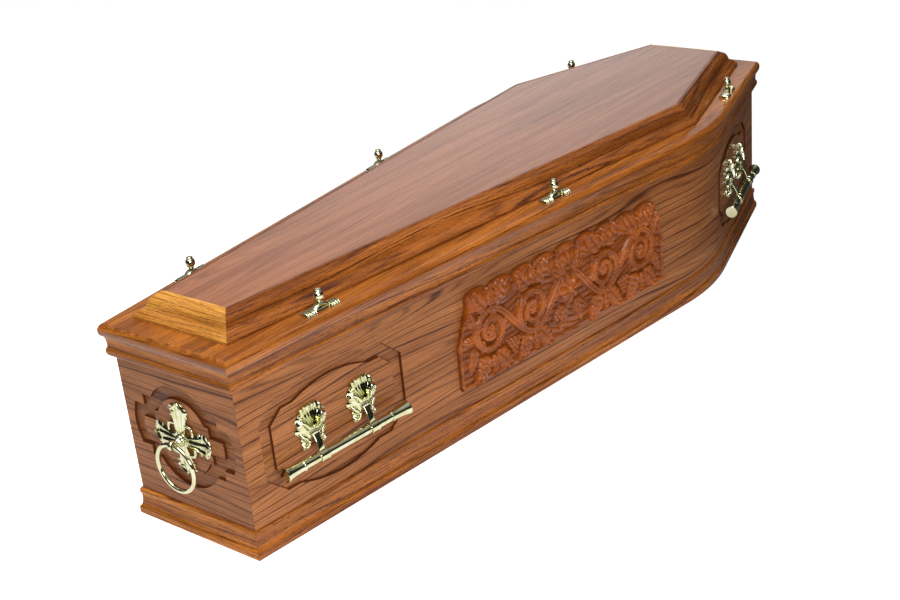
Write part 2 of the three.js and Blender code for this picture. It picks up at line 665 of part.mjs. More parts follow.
// A carved stroke: a ridge along a line, with a half width and a height at each point
function stroke(line, halfWidth, height) {
  const last = line.length - 1;
  const rings = line.map((point, i) => {
    const run = line[Math.min(i + 1, last)].clone().sub(line[Math.max(i - 1, 0)]).normalize();
    const out = outOf(run).multiplyScalar(halfWidth(i / last));
    const floor = RELIEF_GROUND - 1;
    return [
      new THREE.Vector3(point.x - out.x, point.y - out.y, floor),
      new THREE.Vector3(point.x + out.x, point.y + out.y, floor),
      new THREE.Vector3(point.x, point.y, RELIEF_GROUND + height(i / last)),
    ];
  });
  return skin(rings, [new THREE.Vector2(-1, 0), new THREE.Vector2(1, 0), new THREE.Vector2(0, 1)]);
}

const towards = (length, angle) => new THREE.Vector2(length * Math.cos(angle), length * Math.sin(angle));

function leaf(at, angle) {
  const tip = at.clone().add(towards(LEAF_LENGTH, angle));
  const line = [at, at.clone().lerp(tip, LEAF_WIDEST), tip];
  const third = (values, t) => values[Math.round(2 * t)];
  const halfWidth = (t) => third(LEAF_WIDTHS, t) * LEAF_WIDTH / 2;
  return stroke(line, halfWidth, (t) => third(LEAF_HEIGHTS, t) * LEAF_HEIGHT);
}

// A branch of the vine rises to the foot or the top of a scroll's circle and winds into it.
function scroll(centre, sense, row) {
  const rise = Array.from({ length: VINE_STEPS }, (_, i) => {
    const back = VINE_BRANCH * (1 - i / VINE_STEPS);
    const wave = Math.cos(Math.PI * back / SCROLL_SPACING);
    return new THREE.Vector2(centre.x - sense * back, -row * SCROLL_RADIUS * wave);
  });
  const winding = Array.from({ length: SCROLL_STEPS + 1 }, (_, i) => {
    const t = i / SCROLL_STEPS;
    const angle = row * (sense * 2 * Math.PI * SCROLL_TURNS * t - Math.PI / 2);
    return towards(SCROLL_RADIUS * (1 - SCROLL_CLOSING * t), angle).add(centre);
  });
  const width = (t) => SCROLL_STEM_WIDTH * (0.6 - 0.3 * t);
  return stroke([...rise, ...winding], width, () => SCROLL_HEIGHT);
}

function scrollEye(centre) {
  const height = () => RELIEF_GROUND + SCROLL_EYE_HEIGHT;
  return polarRelief(6, [PETAL_SHARE], () => SCROLL_EYE_RADIUS, height, centre);
}

// Two pairs of leaves, above and below a scroll
function scrollLeaves(centre) {
  const around = [[1, 1], [1, -1], [-1, 1], [-1, -1]];
  return around.map(([rise, lean]) => {
    const root = new THREE.Vector2(lean * LEAF_SPREAD, rise * (SCROLL_RADIUS + LEAF_ROOT_GAP)).add(centre);
    return leaf(root, rise * (Math.PI / 2 - lean * LEAF_LEAN));
  });
}

function rosette() {
  const reach = (angle, i) => (i % 2 === 0 ? ROSETTE_RADIUS : ROSETTE_WAIST);
  const petal = (i) => (i % 2 === 0 ? PETAL_RISE : 0);
  const height = (share, angle, i) => RELIEF_GROUND + ROSETTE_HEIGHT * (1 - share ** 2) + petal(i);
  return polarRelief(12, [1, PETAL_SHARE], reach, height);
}

// A bunch of grapes hangs with its point down.
function bunch(centre) {
  const rows = [2, 1];
  const pitch = 2 * GRAPE_RADIUS + 1;
  return rows.flatMap((count, row) => Array.from({ length: count }, (_, i) => {
    const at = new THREE.Vector2((i - (count - 1) / 2) * pitch, -row * pitch * 0.9).add(centre);
    return polarRelief(6, [GRAPE_SHARE], () => GRAPE_RADIUS, () => RELIEF_GROUND + GRAPE_HEIGHT, at);
  }));
}

function relief() {
  const ground = prism(reliefContour(), FIT_GAP, RELIEF_GROUND);
  const forms = [rosette()];
  for (const sense of [-1, 1]) {
    for (const [i, row] of [1, -1].entries()) {
      const centre = new THREE.Vector2(sense * (SCROLL_FIRST + i * SCROLL_SPACING), 0);
      forms.push(scroll(centre, sense, row), scrollEye(centre), ...scrollLeaves(centre));
    }
    const gap = sense * (SCROLL_FIRST + SCROLL_SPACING / 2);
    forms.push(...bunch(new THREE.Vector2(gap, -BUNCH_DROP)));
    for (const rise of [1, -1]) {
      const root = new THREE.Vector2(sense * LEAF_SPREAD, rise * ROSETTE_RADIUS);
      forms.push(leaf(root, rise * (Math.PI / 2 - sense * LEAF_LEAN)));
    }
  }
  return geometryOf(join([ground, ...forms]));
}

// The whole coffin
const coffin = new THREE.Group();

function addPiece(name, geometry, material, parent = coffin) {
  const mesh = new THREE.Mesh(geometry, material);
  mesh.name = name;
  parent.add(mesh);
}

const sides = [['left', 1], ['right', -1]];
const plinthProfile = shifted(PLINTH_PROFILE, FIT_GAP, 0);
const topProfile = shifted(TOP_MOULDING_PROFILE, FIT_GAP, BODY_HEIGHT - TOP_MOULDING_HEIGHT);

addPiece('base_board', prism(outline(-WALL - FIT_GAP), 0, BASE_THICKNESS), veneer);
addPiece('foot_board', endBoard(footPath, footOut), veneer);
addPiece('head_board', endBoard(headPath, topOut), veneer);
addPiece('plinth_foot', drawn(plinthProfile, footPath), mouldingOak);
addPiece('plinth_head', drawn(plinthProfile, headPath), mouldingOak);
addPiece('top_moulding_foot', drawn(topProfile, footPath), mouldingOak);
addPiece('top_moulding_head', drawn(topProfile, headPath), mouldingOak);
addPiece('lid_board', lidBoard(), mouldingOak);
addPiece('lid_frame_foot', framePiece(footPath), mouldingOak);
addPiece('lid_frame_head', framePiece(headPath), mouldingOak);
addPiece('lid_panel', lidPanel(), panelVeneer);

for (const [name, side] of sides) {
  addPiece(`side_board_${name}`, sideBoard(side), veneer);
  addPiece(`plinth_${name}`, drawn(plinthProfile, onSide(sidePath, side)), mouldingOak);
  addPiece(`top_moulding_${name}`, drawn(topProfile, onSide(sidePath, side)), mouldingOak);
  addPiece(`lid_frame_long_${name}`, framePiece(onSide(longPath, side)), mouldingOak);
  addPiece(`lid_frame_short_${name}`, framePiece(onSide(shortPath, side)), mouldingOak);

  const reliefGroup = faceGroup(reliefAt, longOut, RELIEF_Z, side);
  addPiece(`relief_${name}`, relief(), carvedOak, reliefGroup);
  coffin.add(reliefGroup);

  for (const [end, at, out] of [['foot', footHandleAt, longOut], ['head', headHandleAt, headOut]]) {
    const group = faceGroup(at, out, HANDLE_PIVOT_Z, side);
    for (const [i, x] of [-PLATE_SPACING / 2, PLATE_SPACING / 2].entries()) {
      addPiece(`leaf_plate_${end}_${name}_${i + 1}`, leafPlate().translate(x, 0, 0), paleBrass, group);
      addPiece(`arm_${end}_${name}_${i + 1}`, arm().translate(x, 0, 0), paleBrass, group);
    }
    addPiece(`bar_${end}_${name}`, bar(), paleBrass, group);
    coffin.add(group);
  }
}

for (const [name, out] of [['foot', footOut], ['head', topOut]]) {
  const group = faceGroup(new THREE.Vector2(out.x * BODY_LENGTH / 2, 0), out, RING_Z);
  addPiece(`ring_plate_${name}`, ringPlate(), paleBrass, group);
  addPiece(`ring_${name}`, ring(), paleBrass, group);
  coffin.add(group);
}

// Places on the lid's ledge, at a distance from the head along X, inset from the body's face
function ledgePlace(fromHead) {
  const x = BODY_LENGTH / 2 - fromHead;
  const onLongSide = x < shoulderCorner.x;
  const [corner, run, out] = onLongSide ? [footCorner, longRun, longOut] : [shoulderCorner, headRun, headOut];
  return { at: alongRun(corner, run, (x - corner.x) / run.x).addScaledVector(out, -SCREW_INSET), run };
}

for (const [name, side] of sides) {
  for (const [place, fromHead] of Object.entries(SCREWS_FROM_HEAD)) {
    const { at, run } = ledgePlace(fromHead);
    const group = new THREE.Group();
    group.position.set(at.x, at.y * side, lidTop);
    group.rotation.z = Math.atan2(run.y * side, run.x);
    addPiece(`screw_base_${place}_${name}`, screwBase(), paleBrass, group);
    addPiece(`thumb_screw_${place}_${name}`, thumbScrew(), paleBrass, group);
    coffin.add(group);
  }
}

export default coffin;
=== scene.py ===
import math

import bmesh
import bpy
import numpy as np
from bpy.props import FloatProperty, IntProperty, PointerProperty, StringProperty
from mathutils import Matrix, Vector


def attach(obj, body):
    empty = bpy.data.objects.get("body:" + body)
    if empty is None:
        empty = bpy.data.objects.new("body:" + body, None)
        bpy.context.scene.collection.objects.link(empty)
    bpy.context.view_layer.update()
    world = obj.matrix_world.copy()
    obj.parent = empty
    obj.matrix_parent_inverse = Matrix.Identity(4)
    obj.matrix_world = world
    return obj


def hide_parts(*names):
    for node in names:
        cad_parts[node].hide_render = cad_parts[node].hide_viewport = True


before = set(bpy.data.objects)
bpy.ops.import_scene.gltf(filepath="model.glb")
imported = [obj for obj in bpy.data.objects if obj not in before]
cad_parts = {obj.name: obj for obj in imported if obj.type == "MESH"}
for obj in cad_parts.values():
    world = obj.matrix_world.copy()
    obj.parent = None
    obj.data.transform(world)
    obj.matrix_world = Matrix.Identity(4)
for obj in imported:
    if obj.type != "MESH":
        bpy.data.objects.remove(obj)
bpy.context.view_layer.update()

bl_info = {
    "name": "Oak coffin dressing",
    "version": (1, 0, 0),
    "blender": (4, 5, 0),
    "location": "3D View > Sidebar > Coffin",
    "description": "Boards, mouldings, carving and brass fittings of a tapered oak coffin",
    "category": "Object",
}

MM = 0.001
ROOT = "coffin"
SIDES = (("left", 1), ("right", -1))
FIT_GAP = 0.3 * MM


# Settings a user would change
def length(name, description, default):
    return FloatProperty(name=name, description=description, default=default, min=0.0, unit="LENGTH")


def colour(name, description, default):
    return StringProperty(name=name, description=description + ", as an sRGB hex value", default=default)


class CoffinBody(bpy.types.PropertyGroup):
    """Sizes of the body and its boards"""
    length: length("Length", "Length of the body's boards", 1930 * MM)
    height: length("Height", "Height of the body's boards", 385 * MM)
    foot_width: length("Foot width", "Width over the boards at the foot", 308 * MM)
    shoulder_width: length("Shoulder width", "Width at the crossing of the side's two runs", 622 * MM)
    head_width: length("Head width", "Width over the boards at the head", 316 * MM)
    shoulder_from_head: length("Shoulder from head", "Distance of the shoulder from the head", 512 * MM)
    bend_radius: length("Bend radius", "Radius of the bent side at the shoulder", 550 * MM)
    wall: length("Wall", "Thickness of the boards", 18 * MM)
    groove_inner: length("Groove inner edge", "How far a groove reaches inside its line", 16 * MM)
    groove_outer: length("Groove outer edge", "How far a groove reaches outside its line", 11 * MM)
    groove_depth: length("Groove depth", "Depth of the routed grooves", 7 * MM)


class CoffinLid(bpy.types.PropertyGroup):
    """Sizes of the lid"""
    thickness: length("Thickness", "Thickness of the lid board", 26 * MM)
    overhang: length("Overhang", "How far the lid board stands out over the body", 18 * MM)
    frame_inset: length("Moulding inset", "Distance of the raised moulding from the body's face", 33 * MM)
    frame_height: length("Moulding height", "Height of the raised moulding", 45 * MM)


class CoffinFittings(bpy.types.PropertyGroup):
    """Places and sizes of the brass fittings"""
    handle_from_foot: length("Handle from foot", "Middle of a foot handle along the side", 219.5 * MM)
    handle_from_shoulder: length("Handle from shoulder", "Middle of a head handle along the side", 267 * MM)
    handle_height: length("Handle height", "Height of the handles' pins", 195 * MM)
    plate_spacing: length("Plate spacing", "Distance between a handle's two leaf plates", 127 * MM)
    bar_length: length("Bar length", "Length of a bar with its flared ends", 310 * MM)
    bar_radius: length("Bar radius", "Radius of the bars", 9.4 * MM)
    ring_height: length("Ring height", "Height of the ring handles' lugs", 208 * MM)
    ring_radius: length("Ring radius", "Radius of a ring's centreline", 47.75 * MM)
    wire_radius: length("Ring wire radius", "Radius of a ring's wire", 4.75 * MM)


class CoffinCarving(bpy.types.PropertyGroup):
    """Sizes of the carved side panels"""
    from_foot: length("From foot", "Middle of a carved panel along the long side", 885 * MM)
    height: length("Height", "Height of a carved panel's middle", 206 * MM)
    half_length: length("Half length", "Half the length of a carved panel", 340 * MM)
    half_height: length("Half height", "Half the height of a carved panel", 103 * MM)
    scallops: IntProperty(name="Scallops", description="Scallops along a panel's upper edge", default=9)
    cell: length("Cell", "Spacing of the points that the carving is cut with", 1.6 * MM)


class CoffinColours(bpy.types.PropertyGroup):
    """Colours of the finishes"""
    side_light: colour("Side light", "Paler wood of the side veneer", "#b87746")
    side_dark: colour("Side dark", "Darker wood of the side veneer", "#965c32")
    moulding_light: colour("Moulding light", "Paler wood of the side mouldings", "#c8772d")
    moulding_dark: colour("Moulding dark", "Darker wood of the side mouldings", "#925019")
    frame_light: colour("Lid moulding light", "Paler wood of the lid's side mouldings", "#b16628")
    frame_dark: colour("Lid moulding dark", "Darker wood of the lid's side mouldings", "#844816")
    # Painted light: the body's end mouldings get a paler, more orange copy of the side mouldings' wood, for
    # the light that falls on the ends
    painted_lit_end_pale: colour("End moulding light", "Paler wood of the body's end mouldings", "#e08a30")
    painted_lit_end_dark: colour("End moulding dark", "Darker wood of the body's end mouldings", "#a65c18")
    # Painted light: the lid's end mouldings get a paler, golden copy of the lid's side moulding wood, for
    # the light that falls on them
    painted_lit_lid_end_pale: colour("Lid end light", "Paler wood of the lid's end mouldings", "#f5b050")
    painted_lit_lid_end_dark: colour("Lid end dark", "Darker wood of the lid's end mouldings", "#c87f32")
    panel_light: colour("Panel light", "Paler wood of the lid panel", "#ac6c46")
    panel_dark: colour("Panel dark", "Darker wood of the lid panel", "#935735")
    carving_light: colour("Carving light", "Paler wood of the carved panels", "#ae5a1c")
    carving_dark: colour("Carving dark", "Darker wood of the carved panels", "#85400e")
    # Groove wall: the darker colour laid on the routed grooves' walls, from 0.3 mm to 6 mm deep
    routed_wall: colour("Groove wall", "Walls of the routed grooves, which take up more stain", "#54280f")
    grain_dark: colour("Grain", "Dark streaks and pores of the oak", "#4a2210")
    brass: colour("Brass", "Pale polished brass", "#dadabb")
    floor: colour("Floor", "Plain white floor", "#f4f4f4")


# Plan of the body
def unit(vector):
    return vector / np.linalg.norm(vector)


def out_of(run):
    return np.array((-run[1], run[0]))


def mitre(a, b):
    return (a + b) / (1 + a @ b)


class Plan:
    """Corners, runs and outward directions of the body's left half, in metres."""

    def __init__(self, body):
        half = body.length / 2
        self.half_length = half
        self.foot = np.array((-half, body.foot_width / 2))
        self.shoulder = np.array((half - body.shoulder_from_head, body.shoulder_width / 2))
        self.head = np.array((half, body.head_width / 2))
        self.long_run = unit(self.shoulder - self.foot)
        self.head_run = unit(self.head - self.shoulder)
        self.long_out = out_of(self.long_run)
        self.head_out = out_of(self.head_run)
        self.foot_out = np.array((-1.0, 0.0))
        self.top_out = np.array((1.0, 0.0))
        self.radius = body.bend_radius
        self.turn = math.acos(self.long_run @ self.head_run)
        tangent = self.radius * math.tan(self.turn / 2)
        self.bend_start = np.linalg.norm(self.shoulder - self.foot) - tangent
        self.bend_centre = self.shoulder - self.long_run * tangent - self.long_out * self.radius
        self.bend_end = self.shoulder + self.head_run * tangent

    def bend(self, steps):
        """Points and outward directions round the shoulder's bend."""
        stations = []
        for i in range(steps + 1):
            angle = -self.turn * i / steps
            c, s = math.cos(angle), math.sin(angle)
            x, y = self.long_out
            out = np.array((c * x - s * y, s * x + c * y))
            stations.append((self.bend_centre + out * self.radius, out))
        return stations

    def pulled(self, at, out, run):
        """A mitred end, moved back along its run so that two neighbours keep the fit gap."""
        across = unit(out)
        slant = abs(run[0] * across[1] - run[1] * across[0])
        return at + run * FIT_GAP / 2 / slant, out

    def side_path(self, steps=20):
        first = self.pulled(self.foot, mitre(self.foot_out, self.long_out), self.long_run)
        last = self.pulled(self.head, mitre(self.head_out, self.top_out), -self.head_run)
        return [first, *self.bend(steps), last]

    def long_path(self):
        corner = mitre(self.long_out, self.head_out)
        return [self.pulled(self.foot, mitre(self.foot_out, self.long_out), self.long_run),
                self.pulled(self.shoulder, corner, -self.long_run)]

    def short_path(self):
        corner = mitre(self.long_out, self.head_out)
        return [self.pulled(self.shoulder, corner, self.head_run),
                self.pulled(self.head, mitre(self.head_out, self.top_out), -self.head_run)]

    def end_path(self, end):
        corner, out = (self.foot, self.foot_out) if end == "foot" else (self.head, self.top_out)
        beside = self.long_out if end == "foot" else self.head_out
        at, slant = self.pulled(corner, mitre(out, beside), np.array((0.0, -1.0)))
        flip = np.array((1.0, -1.0))
        return [(at * flip, slant * flip), (at, slant)]

    def outline(self, offset, steps=20, sharp=False):
        """The closed outline moved out by an offset, bent or sharp at the shoulders."""
        shoulders = [(self.shoulder, mitre(self.long_out, self.head_out))] if sharp else self.bend(steps)
        left = [(self.foot, mitre(self.foot_out, self.long_out)), *shoulders,
                (self.head, mitre(self.head_out, self.top_out))]
        points = [at + out * offset for at, out in left]
        return points + [point * np.array((1.0, -1.0)) for point in reversed(points)]

    def unroll_side(self, points):
        """(distance along the side, distance out of it, height) of points on the left side."""
        flat = points[:, :2]
        reach = flat - self.bend_centre
        along = reach @ self.long_run
        angle = np.arctan2(along, reach @ self.long_out)
        before = angle < 0
        after = angle > self.turn
        u = self.bend_start + self.radius * angle
        d = np.linalg.norm(reach, axis=1) - self.radius
        u = np.where(before, (flat - self.foot) @ self.long_run, u)
        d = np.where(before, (flat - self.foot) @ self.long_out, d)
        head_start = self.bend_start + self.radius * self.turn
        u = np.where(after, head_start + (flat - self.bend_end) @ self.head_run, u)
        d = np.where(after, (flat - self.head) @ self.head_out, d)
        return np.column_stack((u, d, points[:, 2]))

    def unroll_end(self, points):
        return np.column_stack((points[:, 1], np.abs(points[:, 0]) - self.half_length, points[:, 2]))

    def unroll_long(self, points):
        flat = points[:, :2] - self.foot
        return np.column_stack((flat @ self.long_run, flat @ self.long_out, points[:, 2]))

    def unroll_short(self, points):
        flat = points[:, :2] - self.shoulder
        return np.column_stack((flat @ self.head_run, flat @ self.head_out, points[:, 2]))

    def place(self, corner, run, out, distance, height, side):
        """Matrix of a face: X along it, Y up, Z out of it."""
        at = corner + run * distance
        normal = Vector((out[0], out[1] * side, 0.0)).normalized()
        upright = Vector((0.0, 0.0, 1.0))
        along = upright.cross(normal)
        matrix = Matrix((along, upright, normal)).transposed().to_4x4()
        matrix.translation = (at[0], at[1] * side, height)
        return matrix


# Mesh building
def add_object(name, points, faces, smooth=35.0):
    """A closed mesh with its faces turned outwards, smooth but for edges sharper than the angle."""
    mesh = bpy.data.meshes.new(name)
    mesh.from_pydata([tuple(map(float, p)) for p in points], [], faces)
    tidy = bmesh.new()
    tidy.from_mesh(mesh)
    bmesh.ops.recalc_face_normals(tidy, faces=tidy.faces)
    tidy.to_mesh(mesh)
    tidy.free()
    obj = bpy.data.objects.new(name, mesh)
    bpy.context.scene.collection.objects.link(obj)
    shade(obj, smooth)
    return obj


def shade(obj, smooth):
    obj.data.shade_smooth()
    obj.data.set_sharp_from_angle(angle=math.radians(smooth))


def weight_normals(obj):
    """Large flat faces keep their own normals beside rounded edges."""
    modifier = obj.modifiers.new("weighted", "WEIGHTED_NORMAL")
    modifier.keep_sharp = True
    modifier.weight = 100


def skin(rings, loop=False):
    """Points and faces over rings of points, with end caps unless the rings close on themselves."""
    count = len(rings[0])
    points = [p for ring in rings for p in ring]
    faces = []
    for r in range(len(rings) if loop else len(rings) - 1):
        near, far = r * count, ((r + 1) % len(rings)) * count
        for i in range(count):
            j = (i + 1) % count
            faces.append((near + i, near + j, far + j, far + i))
    if not loop:
        faces.append(tuple(range(count)))
        faces.append(tuple(range(len(points) - count, len(points))))
    return points, faces


def merged(parts):
    """Several (points, faces) as one."""
    points, faces = [], []
    for more_points, more_faces in parts:
        base = len(points)
        points += list(more_points)
        faces += [tuple(base + i for i in face) for face in more_faces]
    return points, faces


def moved(part, matrix):
    points, faces = part
    return [matrix @ Vector(p) for p in points], faces


def drawn(profile, path, side=1):
    """A profile of (offset out, height) points drawn along a path of the plan."""
    rings = [[(at[0] + out[0] * d, side * (at[1] + out[1] * d), z) for d, z in profile] for at, out in path]
    return skin(rings)


def rounded(profile, steps=4):
    """A profile of (offset, height, corner) with a smooth curve between its corners."""
    out = []
    last = len(profile) - 1
    for i in range(last):
        a, b = np.array(profile[i][:2]), np.array(profile[i + 1][:2])
        before = a if profile[i][2] else np.array(profile[i - 1][:2])
        after = b if profile[i + 1][2] else np.array(profile[i + 2][:2])
        out.append(tuple(a))
        if profile[i][2] and profile[i + 1][2]:
            continue
        for k in range(1, steps):
            t = k / steps
            spread = (2 * a + (b - before) * t + (2 * before - 5 * a + 4 * b - after) * t * t
                      + (3 * a - before - 3 * b + after) * t ** 3) / 2
            out.append(tuple(spread))
    out.append(tuple(profile[last][:2]))
    return out


def lathe(profile, steps=32):
    """A turned form about Z from (radius, height) points, with flat ends."""
    angles = [2 * math.pi * i / steps for i in range(steps)]
    return skin([[(r * math.cos(a), r * math.sin(a), z) for a in angles] for r, z in profile])


def turned_ring(profile, steps=48):
    """A turned form about Z from a closed (radius, height) section."""
    angles = [2 * math.pi * i / steps for i in range(steps)]
    return skin([[(r * math.cos(a), r * math.sin(a), z) for r, z in profile] for a in angles], loop=True)


def tube(line, section, up=(0, 0, 1)):
    """A section of (across, high) points swept along a line; section may be a function of the share."""
    rings = []
    last = len(line) - 1
    for i, point in enumerate(line):
        run = (Vector(line[min(i + 1, last)]) - Vector(line[max(i - 1, 0)])).normalized()
        across = run.cross(Vector(up)).normalized()
        high = across.cross(run)
        shape = section(i / last) if callable(section) else section
        rings.append([Vector(point) + across * a + high * h for a, h in shape])
    return skin(rings)


def oval(half_width, half_height, steps=12, squareness=1.0):
    """Points of an oval, squarer as squareness falls below one."""
    points = []
    for i in range(steps):
        a = 2 * math.pi * (i + 0.5) / steps
        c, s = math.cos(a), math.sin(a)
        points.append((half_width * math.copysign(abs(c) ** squareness, c),
                       half_height * math.copysign(abs(s) ** squareness, s)))
    return points


def plate(columns, rows, place, height, base=FIT_GAP):
    """A cast or carved plate: a grid placed on a flat face, raised by its height and closed behind."""
    s, t = np.meshgrid(np.linspace(-1, 1, columns), np.linspace(0, 1, rows), indexing="ij")
    x, y = place(s, t)
    z = height(x, y, s, t)
    front = np.stack((x, y, z), axis=-1).reshape(-1, 3)
    index = np.arange(columns * rows).reshape(columns, rows)
    quads = np.stack((index[:-1, :-1], index[1:, :-1], index[1:, 1:], index[:-1, 1:]), axis=-1)
    rim = [*index[:, 0], *index[-1, 1:], *index[-2::-1, -1], *index[0, -2:0:-1]]
    below = len(front)
    points = [*front, *[(front[i][0], front[i][1], base) for i in rim]]
    faces = [tuple(map(int, quad)) for quad in quads.reshape(-1, 4)]
    count = len(rim)
    for i in range(count):
        j = (i + 1) % count
        faces.append((int(rim[i]), int(rim[j]), below + j, below + i))
    faces.append(tuple(range(below, below + count)))
    return points, faces


def polar_plate(steps, rings, reach, height, middle=(0.0, 0.0), base=FIT_GAP):
    """A cast plate whose edge stands at a reach in each direction from its middle."""
    angles = np.arange(steps) * 2 * math.pi / steps
    edge = reach(angles)
    shares = np.linspace(0, 1, rings + 1)[1:]
    x = middle[0] + np.outer(shares, edge * np.sin(angles))
    y = middle[1] + np.outer(shares, edge * np.cos(angles))
    z = height(x, y, shares[:, None], angles[None, :])
    top = height(np.array([[middle[0]]]), np.array([[middle[1]]]), np.array([[0.0]]), np.array([[0.0]]))
    points = [(middle[0], middle[1], float(top[0, 0]))]
    points += [tuple(p) for p in np.stack((x, y, z), axis=-1).reshape(-1, 3)]
    points += [(px, py, base) for px, py in zip(x[-1], y[-1])]
    faces = []
    for i in range(steps):
        j = (i + 1) % steps
        faces.append((0, 1 + i, 1 + j))
        for r in range(rings):
            near, far = 1 + r * steps, 1 + (r + 1) * steps
            faces.append((near + i, far + i, far + j, near + j))
    faces.append(tuple(range(1 + rings * steps, 1 + (rings + 1) * steps)))
    return points, faces


def smoothstep(low, high, value):
    t = np.clip((value - low) / (high - low), 0, 1)
    return t * t * (3 - 2 * t)


# Finishes
def linear(code):
    """An sRGB hex value as linear red, green, blue and alpha."""
    channels = [int(code[i:i + 2], 16) / 255 for i in (1, 3, 5)]
    spread = [c / 12.92 if c <= 0.04045 else ((c + 0.055) / 1.055) ** 2.4 for c in channels]
    return (*spread, 1.0)


def add_node(tree, kind, inputs=None, settings=None, stops=None, out=0):
    """A node with its settings, its inputs (values or sockets) and a ramp's stops; gives one output."""
    node = tree.nodes.new(kind)
    for key, value in (settings or {}).items():
        setattr(node, key, value)
    for key, value in (inputs or {}).items():
        if isinstance(value, bpy.types.NodeSocket):
            tree.links.new(value, node.inputs[key])
        else:
            node.inputs[key].default_value = value
    for i, (place, tone) in enumerate(stops or ()):
        elements = node.color_ramp.elements
        element = elements[i] if i < 2 else elements.new(place)
        element.position = place
        element.color = tone if isinstance(tone, tuple) else (tone, tone, tone, 1.0)
    return node.outputs[out]


# Settings that several nodes share
MULTIPLY = {"operation": "MULTIPLY"}
MULTIPLY_ADD = {"operation": "MULTIPLY_ADD"}
COLOURS = {"data_type": "RGBA"}


def new_finish(name, **values):
    """A material whose shader has these plain values, given by its sockets' names with underscores."""
    material = bpy.data.materials.new(name)
    material.use_nodes = True
    shader = material.node_tree.nodes["Principled BSDF"]
    for key, value in values.items():
        shader.inputs[key.replace("_", " ")].default_value = value
    return material, material.node_tree, shader


def wood_noise(tree, grain, along_mm, across_mm, detail):
    """Noise drawn out along the grain: how long and how wide its patches are, in millimetres."""
    scale = (1 / (along_mm * MM), 1 / (across_mm * MM), 1 / (across_mm * MM))
    place = add_node(tree, "ShaderNodeVectorMath", {0: grain, 1: scale}, MULTIPLY)
    return add_node(tree, "ShaderNodeTexNoise",
                    {"Vector": place, "Scale": 1.0, "Detail": detail, "Roughness": 0.6})


